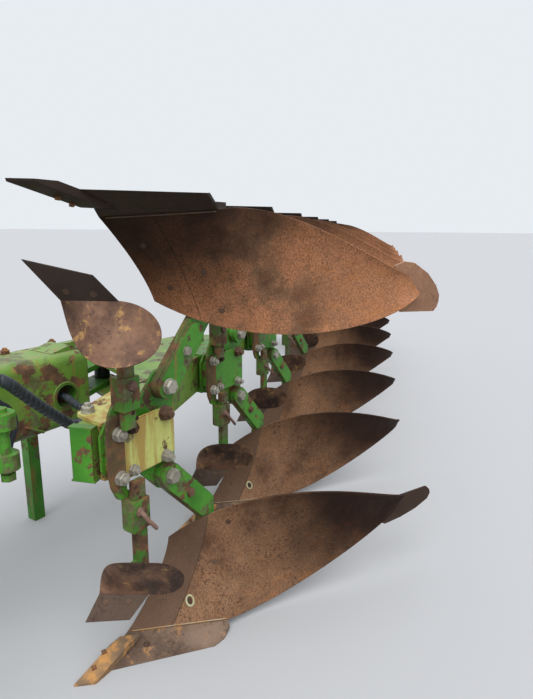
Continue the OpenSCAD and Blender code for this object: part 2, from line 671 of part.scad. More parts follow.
// The stalk carries a plate cut to the back of its board
stalk_low = skim_height + 130;
stalk_high = beam_height - 95;
module skimmer_stalk(ahead, board_ahead) {
    translate([stalk_x + fit / 2 + ahead, stalk_y + fit / 2, stalk_low]) cube([stalk_w - fit, stalk_t - fit, stalk_high - stalk_low]);
    edge = [for (j = [1 : skim_rows - 1]) let (row = [for (i = [0 : skim_cols]) skim_face(i / skim_cols, j / skim_rows) + skim_back],
        p = cross_y(row, stalk_y + stalk_t)) [p[0] - 2 * fit + board_ahead, p[2]]];
    last = len(edge) - 1;
    side_plate(concat(edge, [[stalk_x + stalk_w - 12 + ahead, edge[last][1]], [stalk_x + stalk_w - 12 + ahead, stalk_low + 1],
        [stalk_x + stalk_w - 40 + ahead, stalk_low + 1], [edge[0][0] - 12, edge[0][1]]]), stalk_y + stalk_t - 12, stalk_y + stalk_t - fit / 2);
}
module skimmer_stalks() {
    color(green) {
        each_leg() skimmer_stalk(0, 0);
        upper() each_leg() skimmer_stalk(stalk_ahead, skim_ahead);
    }
}

// Stand, a square bar in a sleeve on the far side of the front frame
sleeve_t = 8;
sleeve_h = 200;
sleeve_mid = beam_height - 60;
module stand_sleeve() {
    far = -member_offset - member_w / 2;
    o = stand_w / 2 + fit + sleeve_t;
    color(green) difference() {
        union() {
            translate([stand_at[0] - o, stand_at[1] - o, sleeve_mid - sleeve_h / 2]) cube([2 * o, 2 * o, sleeve_h]);
            for (z = [-sleeve_h / 2 + 10, sleeve_h / 2 - 30]) translate([0, 0, sleeve_mid + z]) linear_extrude(20)
                polygon([[-402, far], [-460, far], [stand_at[0] - o, stand_at[1]], [stand_at[0] + o, stand_at[1]]]);
        }
        translate([stand_at[0] - stand_w / 2 - fit, stand_at[1] - stand_w / 2 - fit, 0])
            cube([stand_w + 2 * fit, stand_w + 2 * fit, 3000]);
    }
}
module stand_bar() {
    color(green) translate([stand_at[0] - stand_w / 2, stand_at[1] - stand_w / 2, 0]) cube([stand_w, stand_w, stand_len]);
}

// Depth wheel at the rear, on a trailing arm
wheel_c = [arm_x - arm_len * cos(arm_drop), wheel_y - 150, beam_height - arm_len * sin(arm_drop)];
arm_pin_r = 30;
bracket_half = 80;
module wheel_bracket() {
    face = beam_far - fit;
    end_y = arm_y + 20;
    color(green) {
        for (z = [-bracket_half, bracket_half - 20]) translate([0, 0, beam_height + z]) linear_extrude(20) polygon([
            [arm_x - 90, beam_line_y(arm_x - 90, face)], [arm_x + 90, beam_line_y(arm_x + 90, face)],
            [arm_x + 60, end_y + 20], [arm_x - 60, end_y + 20]]);
        translate([arm_x - 60, end_y, beam_height - bracket_half]) cube([120, 20.01, 2 * bracket_half]);
        translate([arm_x, end_y + 1, beam_height]) rotate([90, 0, 0]) cylinder(h = 67, r = arm_pin_r);
    }
}
module wheel_arm() {
    hub = arm_pin_r + 22;
    color(green) {
        difference() {
            translate([arm_x, arm_y + 15, beam_height]) rotate([0, -arm_drop, 0]) rotate([90, 0, 0]) linear_extrude(40)
                polygon(concat(arc([0, 0], hub, -90, 90, 12), arc([-arm_len, 0], 38, 90, 270, 12)));
            translate([arm_x, arm_y + 40, beam_height]) rotate([90, 0, 0]) cylinder(h = 100, r = arm_pin_r + run);
        }
        translate([wheel_c[0], arm_y - 24, wheel_c[2]]) rotate([90, 0, 0])
            cylinder(h = arm_y - 24 - wheel_c[1] + 60, r = 25);
    }
}
module wheel_rim() {
    color(green) translate([wheel_c[0], wheel_c[1], wheel_c[2]]) rotate([90, 0, 0]) rotate_extrude()
        polygon([[25 + run, -60], [50, -60], [50, -15], [185, -15], [185, -70], [205, -80], [205, 80], [185, 70],
            [185, 15], [50, 15], [50, 60], [25 + run, 60]]);
}
module wheel_tyre() {
    color(black) translate([wheel_c[0], wheel_c[1], wheel_c[2]]) rotate([90, 0, 0]) rotate_extrude(convexity = 4)
        polygon(concat([[205, -78]], arc([245, -wheel_w / 2 + 55], 55, 225, 360, 8), arc([245, wheel_w / 2 - 55], 55, 0, 135, 8),
            [[205, 78]]));
}

// Arms and upright pin of the linkage that sets the first furrow's width
link_pin_at = [215, -300];
link_arm_z = [beam_height - 47, beam_height + 93];
link_arm_t = 55;
module width_link() {
    side = turn_y + block_w / 2;
    color(green) {
        for (z = link_arm_z) translate([0, 0, z]) linear_extrude(link_arm_t)
            polygon(concat([[195, side]], arc(link_pin_at, 40, 180, 0, 12), [[290, side]]));
        translate([link_pin_at[0], link_pin_at[1], link_arm_z[0] - 15]) cylinder(h = link_arm_z[1] - link_arm_z[0] + 85, r = 16);
        translate([link_pin_at[0], link_pin_at[1], link_arm_z[0] - 38]) cylinder(h = 24, r = 26, $fn = 6);
    }
}

// Hoses, each a round tube swept along a smooth line through its points
function smooth(p, t) = let (n = len(p) - 1, i = min(floor(t), n - 1), f = t - i,
    a = p[max(i - 1, 0)], b = p[i], c = p[i + 1], d = p[min(i + 2, n)])
    0.5 * (2 * b + (c - a) * f + (2 * a - 5 * b + 4 * c - d) * f * f + (3 * b - 3 * c + d - a) * f * f * f);
hose_sides = 10;
function hose_way(p, t) = let (n = len(p) - 1) t <= 0 ? p[1] - p[0] : t >= n ? p[n] - p[n - 1]
    : smooth(p, min(n, t + 0.02)) - smooth(p, max(0, t - 0.02));
module hose(route, r, steps) {
    n = len(route) - 1;
    rings = [for (k = [0 : steps]) let (t = k * n / steps, c = smooth(route, t), d = unit(hose_way(route, t)),
        a = unit(cross(d, [-0.6, 1, 0.35])), b = cross(d, a))
        for (i = [0 : hose_sides - 1]) let (w = 360 * i / hose_sides) c + r * (cos(w) * a + sin(w) * b)];
    polyhedron(points = rings, convexity = 8, faces = concat(
        [[for (i = [0 : hose_sides - 1]) i]], [[for (i = [hose_sides - 1 : -1 : 0]) steps * hose_sides + i]],
        [for (k = [0 : steps - 1], i = [0 : hose_sides - 1]) let (j = (i + 1) % hose_sides, o = k * hose_sides)
            [o + i, o + hose_sides + j, o + j]],
        [for (k = [0 : steps - 1], i = [0 : hose_sides - 1]) let (j = (i + 1) % hose_sides, o = k * hose_sides)
            [o + i, o + hose_sides + i, o + hose_sides + j]]));
}
// Where the hoses end: on the block, through the front frame's far side, and on the beam's far side
union_len = 40;
block_top = beam_height + member_h / 2;
frame_far = -member_offset - member_w / 2;
block_side = turn_y + block_w / 2;
function beam_end(s, z, out) = concat(on_beam(s, beam_far - union_len - out), [z]);
main_end = [-421, beam_height - 47];
tube_end = [-480, beam_height + 11];
tube_start = [-318, beam_height - 122];
loop_end = [230, beam_height - 112];
function above(at, out) = [at[0], at[1], block_top + union_len + out];
main_start = [300, -620];
loop_start = [335, -560];
function tube_out(out) = [tube_start[0], frame_far - union_len - out, tube_start[1]];
function loop_in(out) = [loop_end[0], block_side + union_len + out, loop_end[1]];
// The points between, with heights over the beam's middle
function lifted(points) = [for (p = points) [p[0], p[1], p[2] + beam_height]];
main_hose = concat([above(main_start, 0), above(main_start, 25), above(main_start, 55)],
    lifted([[272, -520, 288], [174, -362, 236], [89, -394, 167], [-5, -430, 82], [-113, -471, -8], [-173, -493, -55],
        [-240, -470, -67], [-290, -415, -59]]),
    [for (out = [52, 26, 0]) beam_end(main_end[0], main_end[1], out)]);
tube_hose = concat([tube_out(0), tube_out(25), tube_out(50)],
    lifted([[-318, -1088, -69], [-318, -1045, -25], [-320, -980, -11], [-322, -850, -14], [-332, -735, -25],
        [-306, -650, -25], [-278, -560, -25], [-288, -490, -15]]),
    [for (out = [52, 26, 0]) beam_end(tube_end[0], tube_end[1], out)]);
loop_hose = concat([above(loop_start, 0), above(loop_start, 20), above(loop_start, 42)],
    lifted([[262, -480, 225], [180, -440, 175], [143, -430, 133], [118, -430, 110], [99, -430, 69], [101, -430, 27],
        [118, -432, -15], [135, -438, -67], [170, -440, -102], [208, -444, -110]]),
    [loop_in(36), loop_in(18), loop_in(0)]);
module hoses() {
    color(black) {
        hose(main_hose, 22, 48);
        hose(tube_hose, 17, 44);
        hose(loop_hose, 11, 48);
    }
}
// Unions at the hoses' ends
module hose_unions() {
    color(steel) {
        translate([main_start[0], main_start[1], block_top]) cylinder(h = union_len, r = 26);
        translate([loop_start[0], loop_start[1], block_top]) cylinder(h = union_len, r = 16);
        translate([loop_end[0], block_side, loop_end[1]]) rotate([-90, 0, 0]) cylinder(h = union_len, r = 16);
        translate([tube_start[0], frame_far, tube_start[1]]) rotate([90, 0, 0]) cylinder(h = union_len, r = 21);
        along_beam() translate([main_end[0], beam_far, main_end[1]]) rotate([90, 0, 0]) cylinder(h = union_len, r = 26);
        along_beam() translate([tube_end[0], beam_far, tube_end[1]]) rotate([90, 0, 0]) cylinder(h = union_len, r = 21);
    }
}

// Headstock, which turns about the shaft
bearing_r = 90;
bearing_x = [block_front + 8, shaft_front - 6];
tower_y = 25;
tower_x = [450, shaft_front - 10];
pin_z = beam_height - hitch_drop;
mast_z = pin_z + mast_height;
beam_x = [520, 620];
cross_h = 100;
module at_turn() {
    translate([0, turn_y, beam_height]) children();
}
module headstock_bearing() {
    color(green) at_turn() rotate([0, 90, 0]) translate([0, 0, bearing_x[0]]) difference() {
        cylinder(h = bearing_x[1] - bearing_x[0], r = bearing_r);
        translate([0, 0, -1]) cylinder(h = bearing_x[1] - bearing_x[0] + 2, r = shaft_r);
    }
}
module headstock_tower() {
    y = bearing_r;
    color(green) at_turn() {
        for (m = [-1, 1]) translate([0, m * (y + tower_y / 2), 0]) side_plate([
            [tower_x[0], -hitch_drop + cross_h / 2], [tower_x[1], -hitch_drop + cross_h / 2],
            [tower_x[1], 200], [tower_x[1], mast_height - hitch_drop - 60], [tower_x[1] - 90, mast_height - hitch_drop - 60],
            [tower_x[0], 160]], -tower_y / 2, tower_y / 2);
        translate([tower_x[1] - 25, -y, ram_top - 60]) cube([25, 2 * y, 60 + mast_height - hitch_drop - 60 - ram_top]);
        translate([tower_x[1] - 90, -y, mast_height - hitch_drop - 80]) cube([90, 2 * y, 20]);
        translate([tower_x[1] - 1, 0, ram_top]) rotate([0, 90, 0]) cylinder(h = ram_x + 45 - tower_x[1], r = 22);
    }
}
module top_link_ears() {
    color(green) at_turn() difference() {
        union() for (m = [-1, 1]) translate([0, m * (top_gap / 2 + 12.5), 0]) side_plate(concat(
            [[tower_x[1] - 90, mast_height - hitch_drop - 60], [tower_x[1], mast_height - hitch_drop - 60]],
            arc([tower_x[1] - 30, mast_height - hitch_drop], 40, 0, 180, 12)), -12.5, 12.5);
        translate([tower_x[1] - 30, 200, mast_height - hitch_drop]) rotate([90, 0, 0]) cylinder(h = 400, r = top_bore_r);
    }
}
module link_cross_beam() {
    color(green) at_turn() {
        translate([beam_x[0], -link_span / 2 + 30, -hitch_drop - cross_h / 2]) cube([beam_x[1] - beam_x[0], link_span - 60, cross_h]);
        for (m = [-1, 1]) translate([0, m * (link_span / 2 - 15), 0]) side_plate(concat(
            [[beam_x[0], -hitch_drop + 60], [beam_x[0], -hitch_drop - 60], [beam_x[1], -hitch_drop - 60]],
            arc([beam_x[1] + 30, -hitch_drop], 45, -90, 90, 10), [[beam_x[1], -hitch_drop + 60]]), -15, 15);
    }
}
module link_pins() {
    color(steel) at_turn() for (m = [-1, 1])
        translate([beam_x[1] + 30, m * link_span / 2, -hitch_drop]) rotate([-90 * m, 0, 0]) cylinder(h = link_pin_len, r = link_pin_r);
}

// Turnover ram, from the tower's pin to the crank
ram_x = crank_front + 5 + 50;
ram_a = atan2(crank_r, ram_top);
ram_len = norm([crank_r, ram_top]);
barrel_len = 205;
module along_ram() {
    translate([ram_x, turn_y, beam_height + ram_top]) rotate([180 + ram_a, 0, 0]) children();
}
module ram_barrel() {
    color(green) difference() {
        along_ram() {
            translate([0, 0, 30]) cylinder(h = barrel_len - 30, r = 42);
            translate([-35, 0, 0]) rotate([0, 90, 0]) cylinder(h = 70, r = 40);
        }
        along_ram() {
            translate([-60, 0, 0]) rotate([0, 90, 0]) cylinder(h = 120, r = 22 + run);
            translate([0, 0, 60]) cylinder(h = barrel_len, r = 22.5);
        }
    }
}
module ram_rod() {
    color(steel) along_ram() {
        translate([0, 0, 70]) cylinder(h = ram_len - 70, r = 22);
        translate([-ram_x + crank_front + 5, 0, ram_len]) rotate([0, 90, 0]) cylinder(h = ram_x - crank_front - 5 + 25, r = 30);
    }
}

placed() {
    main_beam();
    beam_caps();
    front_frame();
    hose_tube();
    turnover_block();
    turnover_shaft();
    pivot_plates();
    pivot_pin();
    pivot_tongue();
    linkage_straps();
    front_leg_plate();
    leg_plates();
    front_beam_clamp();
    beam_clamps();
    inner_cheeks();
    legs_lower();
    legs_upper();
    leg_doublers();
    frogs_lower();
    frogs_upper();
    landsides();
    shins_lower();
    shins_upper();
    boards_lower();
    boards_upper();
    shares_lower();
    shares_upper();
    bar_points();
    tail_pieces();
    skimmer_brackets();
    skimmer_stalks();
    skimmer_boards();
    skimmer_shares();
    stand_sleeve();
    stand_bar();
    wheel_bracket();
    wheel_arm();
    wheel_rim();
    wheel_tyre();
    headstock_tower();
    headstock_bearing();
    link_cross_beam();
    link_pins();
    top_link_ears();
    ram_barrel();
    ram_rod();
    frame_cap();
    width_link();
    hoses();
    hose_unions();
}
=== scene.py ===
import json
import math

import bpy
import numpy as np
from mathutils import Matrix, Vector


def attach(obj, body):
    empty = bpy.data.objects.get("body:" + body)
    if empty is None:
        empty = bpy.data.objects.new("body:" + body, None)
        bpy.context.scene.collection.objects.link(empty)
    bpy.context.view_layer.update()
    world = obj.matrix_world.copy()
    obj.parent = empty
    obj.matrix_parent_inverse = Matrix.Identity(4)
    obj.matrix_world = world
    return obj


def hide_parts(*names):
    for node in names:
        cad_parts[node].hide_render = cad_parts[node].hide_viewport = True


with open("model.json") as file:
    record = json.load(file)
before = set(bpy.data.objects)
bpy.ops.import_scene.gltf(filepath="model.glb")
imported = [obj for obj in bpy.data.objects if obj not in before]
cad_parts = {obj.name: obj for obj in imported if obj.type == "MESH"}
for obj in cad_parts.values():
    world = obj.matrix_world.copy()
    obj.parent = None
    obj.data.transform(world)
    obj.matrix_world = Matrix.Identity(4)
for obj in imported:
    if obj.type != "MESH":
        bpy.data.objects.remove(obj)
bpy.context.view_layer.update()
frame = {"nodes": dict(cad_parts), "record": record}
nodes = frame["nodes"]
record = frame["record"]
print("frame loaded,", len(nodes), "nodes")

# The plough's own layout in metres: its origin is the point on the floor below the first leg
plough = {
    "furrows": 6,
    "pitch": 0.940,
    "furrow": 0.356,
    "beamHeight": 0.837,
    "origin": (2.594, 0.878605, 0.0),
    "frameFace": -0.730,    # the front frame's near side
}

# Camera, solved from the repeated bodies: place in metres in the frame, angles in degrees
cameraView = {
    "place": (3.70036, 2.15296, 1.5627),
    "heading": 32.576,      # from straight back towards the right
    "pitch": 12.82,         # below the horizon
    "roll": 0.4705,
    "focalPixels": 526.519,
    "imageHeight": 699,
    "sensor": 36.0,
    "clipEnd": 2000.0,
}


def addObject(name, data):
    # an object that shows the data, linked into the scene
    thing = bpy.data.objects.new(name, data)
    bpy.context.scene.collection.objects.link(thing)
    return thing


def makeCamera(view):
    # heading, pitch and roll turned into the camera's three axes
    heading, pitch, roll = (math.radians(view[key]) for key in ("heading", "pitch", "roll"))
    ahead = Vector((-math.cos(heading), -math.sin(heading), 0))
    right = Vector((-math.sin(heading), math.cos(heading), 0))
    up = Vector((0, 0, 1))
    look = ahead * math.cos(pitch) - up * math.sin(pitch)
    lift = ahead * math.sin(pitch) + up * math.cos(pitch)
    xAxis = right * math.cos(roll) + lift * math.sin(roll)
    yAxis = lift * math.cos(roll) - right * math.sin(roll)
    data = bpy.data.cameras.new("camera")
    data.sensor_width = view["sensor"]
    data.lens = view["focalPixels"] / view["imageHeight"] * view["sensor"]
    data.clip_end = view["clipEnd"]
    camera = addObject("camera", data)
    turn = Matrix((xAxis, yAxis, -look)).transposed().to_4x4()
    camera.matrix_world = Matrix.Translation(view["place"]) @ turn
    bpy.context.scene.camera = camera


# Plain floor and soft light; the seen colours are the pale ones that the camera meets
studio = {
    "floorColour": (0.17, 0.17, 0.17),
    "floorSeen": (0.44, 0.44, 0.45),
    "floorHalf": 600.0,
    "floorRough": 0.9,
    "floorShine": 0.1,
    "zenithColour": (1.20, 1.25, 1.30),
    "zenithFrom": 0.9,      # how steep a direction is where this colour is reached
    "horizonColour": (0.50, 0.53, 0.56),
    "backSeen": (0.80, 0.84, 0.88),
    "keyStrength": 2.1,
    "keyAngle": 55.0,
    "keyTurn": (35, 0, 128),
}


def makeStudio(values):
    # a wide floor, a light that is brighter overhead, and one soft sun from behind the camera
    half = values["floorHalf"]
    mesh = bpy.data.meshes.new("floor")
    corners = np.array([[-half, -half, 0], [half, -half, 0], [half, half, 0], [-half, half, 0]])
    mesh.from_pydata(corners.tolist(), [], [(0, 1, 2, 3)])
    floor = addObject("floor", mesh)
    paint, tree, shader = newMaterial("floorPaint")
    tone = mixColour(tree, seenDirectly(tree), values["floorColour"], values["floorSeen"])
    feed(tree, shader, {"Base Color": tone, "Roughness": values["floorRough"],
                        "Specular IOR Level": values["floorShine"]})
    mesh.materials.append(paint)
    world = bpy.data.worlds.new("world")
    world.use_nodes = True
    tree = world.node_tree
    height = axisPart(tree, addNode(tree, "ShaderNodeTexCoord").outputs["Generated"], "Z")
    stops = ((0.0, values["horizonColour"]), (values["zenithFrom"], values["zenithColour"]))
    tint = mixColour(tree, seenDirectly(tree), colourRamp(tree, height, stops), values["backSeen"])
    feed(tree, tree.nodes["Background"], {"Color": tint})
    bpy.context.scene.world = world
    key = bpy.data.lights.new("key", "SUN")
    key.energy = values["keyStrength"]
    key.angle = math.radians(values["keyAngle"])
    addObject("key", key).rotation_euler = [math.radians(a) for a in values["keyTurn"]]


# Shader tools

def feed(tree, node, values):
    # each input, by its name or number, given a plain value or linked to another node's output
    for name, value in values.items():
        if isinstance(value, bpy.types.NodeSocket):
            tree.links.new(value, node.inputs[name])
        else:
            node.inputs[name].default_value = value


def addNode(tree, kind, settings=None, **inputs):
    # a node with its settings and inputs; i0 stands for input 0, and From_Min for From Min
    node = tree.nodes.new(kind)
    for key, value in (settings or {}).items():
        setattr(node, key, value)
    feed(tree, node, {int(key[1:]) if key[1:].isdigit() else key.replace("_", " "): value
                      for key, value in inputs.items()})
    return node


def layered(tree, tone, *layers):
    # colours laid over a tone, each where its own cover is 1
    for cover, colour in layers:
        tone = mixColour(tree, cover, tone, colour)
    return tone


def colourRamp(tree, value, stops):
    # colours at places from 0 to 1 along a value
    ramp = addNode(tree, "ShaderNodeValToRGB", Fac=value)
    band = ramp.color_ramp
    while len(band.elements) < len(stops):
        band.elements.new(0.5)
    for element, (place, colour) in zip(band.elements, stops):
        element.position = place
        element.color = (*colour, 1)
    return ramp.outputs["Color"]


def mixColour(tree, factor, one, two):
    # the second colour where the factor is 1
    one = (*one, 1) if isinstance(one, tuple) else one
    two = (*two, 1) if isinstance(two, tuple) else two
    return addNode(tree, "ShaderNodeMix", {"data_type": "RGBA"}, i0=factor, i6=one, i7=two).outputs[2]


def maths(tree, operation, one, two=0.5):
    # one arithmetic step on two values
    return addNode(tree, "ShaderNodeMath", {"operation": operation}, i0=one, i1=two).outputs[0]


def vectorMaths(tree, operation, one, two):
    # one number from two vectors, such as their distance
    return addNode(tree, "ShaderNodeVectorMath", {"operation": operation}, i0=one, i1=two).outputs["Value"]


def times(tree, one, two):
    # the product of two values
    return maths(tree, "MULTIPLY", one, two)


def largest(tree, one, two):
    # the greater of two values
    return maths(tree, "MAXIMUM", one, two)


def less(tree, one, two):
    # the first value with the second taken from it
    return maths(tree, "SUBTRACT", one, two)


def between(tree, value, low, high, start=0.0, end=1.0):
    # a smooth step from start to end while the value goes from low to high
    return addNode(tree, "ShaderNodeMapRange", {"interpolation_type": "SMOOTHSTEP"}, Value=value,
                   From_Min=low, From_Max=high, To_Min=start, To_Max=end).outputs["Result"]


def axisPart(tree, vector, axis):
    # one of a vector's three parts
    return addNode(tree, "ShaderNodeSeparateXYZ", Vector=vector).outputs[axis]


def objectPlace(tree, stretch=(1, 1, 1)):
    # object coordinates in metres, with each axis multiplied by its part of the stretch
    coords = addNode(tree, "ShaderNodeTexCoord").outputs["Object"]
    return addNode(tree, "ShaderNodeMapping", Vector=coords, Scale=stretch).outputs["Vector"]


def surface(tree, name):
    # a normal of the surface, by its name
    return addNode(tree, "ShaderNodeNewGeometry").outputs[name]


def softNormal(tree, radius):
    # the normal, with sharp edges rounded by a radius
    return addNode(tree, "ShaderNodeBevel", {"samples": 4}, Radius=radius).outputs["Normal"]


def seenDirectly(tree):
    # 1 for rays from the camera, in mirrors and through glass, and 0 for the light on the object
    path = addNode(tree, "ShaderNodeLightPath").outputs
    return largest(tree, largest(tree, path["Is Camera Ray"], path["Is Glossy Ray"]),
                   path["Is Transmission Ray"])


def noise(tree, place, scale, detail=4.0, rough=0.55):
    # cloudy noise from 0 to 1
    node = addNode(tree, "ShaderNodeTexNoise", Vector=place, Scale=scale, Detail=detail, Roughness=rough)
    return node.outputs["Fac"]


def patches(tree, place, scale, detail, rough, low, high, start=0.0, end=1.0):
    # noise made into patches: a smooth step from start to end while it goes from low to high
    return between(tree, noise(tree, place, scale, detail, rough), low, high, start, end)


def edgeWear(tree, radius):
    # 1 less the cosine between the rounded normal and the true one, so about 1 at sharp edges
    dot = vectorMaths(tree, "DOT_PRODUCT", softNormal(tree, radius), surface(tree, "True Normal"))
    return between(tree, less(tree, 1.0, dot), 0.02, 0.22)


def newMaterial(name):
    # an empty Principled material and its node tree
    material = bpy.data.materials.new(name)
    material.use_nodes = True
    return material, material.node_tree, material.node_tree.nodes["Principled BSDF"]


def finishSurface(tree, shader, values, height, bump, radius):
    # the shader's inputs, and its normal: edges rounded by the radius, raised by 2 mm times bump times height
    raised = addNode(tree, "ShaderNodeBump", Strength=bump, Distance=0.002, Height=height,
                     Normal=softNormal(tree, radius))
    feed(tree, shader, dict(values, Normal=raised.outputs["Normal"]))


# Rust patches on the front frame's near side: x and height in metres in the first leg's layout, and radius
boxPatches = ((-0.245, 0.925, 0.022), (-0.300, 0.890, 0.034), (-0.240, 0.820, 0.028), (-0.150, 0.960, 0.018),
              (-0.405, 0.870, 0.024), (-0.080, 0.760, 0.020), (-0.330, 0.735, 0.018), (-0.180, 0.700, 0.026),
              (0.010, 0.700, 0.028), (-0.420, 0.960, 0.018))
rustTones = {
    "dark": (0.050, 0.027, 0.015),
    "brown": (0.135, 0.072, 0.038),
    "orange": (0.330, 0.140, 0.045),
    "grime": (0.085, 0.072, 0.032),
    "paleGrime": (0.160, 0.140, 0.075),
}

# Painted metal. Chips, grime, worn edges and rust streaks show where noise passes their level, so a lower one
# gives more. Some also rust on the sides that face left and right, round the beam's height, or in set patches
paintDefaults = dict(chipScale=9.0, gloss=0.45, streakTone=rustTones["orange"], patches=())
bodyGreen = dict(light=(0.085, 0.320, 0.026), dark=(0.036, 0.175, 0.012), dust=(0.17, 0.22, 0.10))
frameTones = dict(light=(0.190, 0.330, 0.048), dark=(0.105, 0.215, 0.026), dust=(0.25, 0.27, 0.14))
paints = {
    "greenPaint": dict(bodyGreen, chips=0.578, grime=0.550, wear=0.53, streak=0.62),
    "frameGreen": dict(frameTones, chips=0.575, chipScale=6.0, grime=0.520, wear=0.55, streak=0.58),
    "fadedPaint": dict(light=(0.600, 0.640, 0.200), dark=(0.480, 0.440, 0.110), dust=(0.44, 0.36, 0.14),
                       chips=0.590, grime=0.580, wear=0.45, streak=0.45, gloss=0.50,
                       streakTone=(0.400, 0.225, 0.055)),
    "legPaint": dict(bodyGreen, chips=0.570, grime=0.545, wear=0.50, streak=0.62, edgeRust=0.75),
    "holderPaint": dict(light=(0.090, 0.300, 0.026), dark=(0.040, 0.160, 0.013), dust=(0.14, 0.17, 0.07),
                        chips=0.545, chipScale=11.0, grime=0.520, wear=0.45, streak=0.60, gloss=0.50,
                        edgeRust=0.25, bandRust=0.105),
    "boxPaint": dict(frameTones, dust=(0.26, 0.28, 0.14), chips=0.585, chipScale=6.0, grime=0.515, wear=0.53,
                     streak=0.56, patches=boxPatches),
    "chippedBrown": dict(light=(0.080, 0.270, 0.022), dark=(0.045, 0.150, 0.014), dust=(0.11, 0.10, 0.05),
                         chips=0.505, grime=0.490, wear=0.36, streak=0.60, gloss=0.50),
}

# Layers of the paint: noise scale, detail and roughness, then for some the step's low, high, start and end
paintLayers = {
    "shade": (3.1, 6.0, 0.55, 0.38, 0.64),
    "grain": (60.0, 5.0, 0.7, 0.35, 0.65, 0.0, 0.35),
    "dust": (6.0, 4.0, 0.55, 0.35, 0.65),
    "streaks": (1.0, 4.0, 0.55),
    "streakStretch": (26, 26, 2.2),
    "dirt": (5.3, 9.0, 0.72),
    "dirtTone": (34.0, 4.0, 0.7, 0.4, 0.65),
    "flakes": (10.0, 0.70),         # their scale is each paint's own
    "wear": (30.0, 5.0, 0.7),
    "sides": (3.0, 8.0, 0.7, 0.40, 0.46),
    "rust": (14.0, 6.0, 0.65),
    "bumps": (160.0, 3.0),
    "bareRough": 0.85,
    "bandRagged": 0.35,             # how far flakes move a band's and a patch's edge, in metres for each unit
    "patchRagged": 0.45,
}


def rustColour(tree, place):
    # dark brown to orange, in patches with fine grain
    cloud = noise(tree, place, *paintLayers["rust"])
    stops = ((0.30, rustTones["dark"]), (0.50, rustTones["brown"]), (0.72, rustTones["orange"]))
    return colourRamp(tree, cloud, stops)


def makePaint(name, values):
    # paint over rust: cloudy paint, dust on what faces up, rust streaks, grime, chips and worn edges
    values, layers = {**paintDefaults, **values}, paintLayers
    material, tree, shader = newMaterial(name)
    place = objectPlace(tree)
    facingUp = between(tree, axisPart(tree, surface(tree, "Normal"), "Z"), 0.5, 1.0, 0.0, 0.5)
    dust = times(tree, facingUp, patches(tree, place, *layers["dust"]))
    level = values["streak"]
    stretched = objectPlace(tree, layers["streakStretch"])
    streaks = patches(tree, stretched, *layers["streaks"], level, level + 0.14, 0.0, 0.8)
    level = values["grime"]
    dirt = patches(tree, place, *layers["dirt"], level, level + 0.05, 0.0, 0.85)
    pale = patches(tree, place, *layers["dirtTone"])
    flake = noise(tree, place, values["chipScale"], *layers["flakes"])
    chips = between(tree, flake, values["chips"], values["chips"] + 0.012)
    level = values["wear"]
    worn = times(tree, edgeWear(tree, 0.006), patches(tree, place, *layers["wear"], level - 0.12, level))
    bare = largest(tree, chips, worn)
    ragged = less(tree, flake, 0.5)
    if "edgeRust" in values:
        side = maths(tree, "ABSOLUTE", axisPart(tree, surface(tree, "True Normal"), "Y"))
        edge = between(tree, side, 0.3, 0.6, values["edgeRust"], 0.0)
        bare = largest(tree, bare, times(tree, edge, patches(tree, place, *layers["sides"])))
    if "bandRust" in values:
        away = maths(tree, "ABSOLUTE", less(tree, axisPart(tree, place, "Z"), plough["beamHeight"]))
        away = maths(tree, "ADD", away, times(tree, ragged, layers["bandRagged"]))
        band = between(tree, away, values["bandRust"] - 0.006, values["bandRust"], 0.92, 0.0)
        bare = largest(tree, bare, band)
    for x, z, radius in values["patches"]:
        middle = (x + plough["origin"][0], plough["frameFace"] + plough["origin"][1], z)
        far = vectorMaths(tree, "DISTANCE", place, middle)
        far = maths(tree, "ADD", far, times(tree, ragged, layers["patchRagged"]))
        bare = largest(tree, bare, between(tree, far, radius - 0.003, radius, 1.0, 0.0))
    colour = layered(tree, values["light"],
                     (patches(tree, place, *layers["shade"]), values["dark"]),
                     (patches(tree, place, *layers["grain"]), values["dark"]),
                     (dust, values["dust"]),
                     (streaks, values["streakTone"]),
                     (dirt, mixColour(tree, pale, rustTones["grime"], rustTones["paleGrime"])),
                     (bare, rustColour(tree, place)))
    gloss = between(tree, bare, 0.0, 1.0, values["gloss"], layers["bareRough"])
    height = less(tree, times(tree, noise(tree, place, *layers["bumps"]), 0.25), bare)
    inputs = {"Base Color": colour, "Roughness": gloss, "Specular IOR Level": 0.35}
    finishSurface(tree, shader, inputs, height, 0.35, 0.004)
    return material


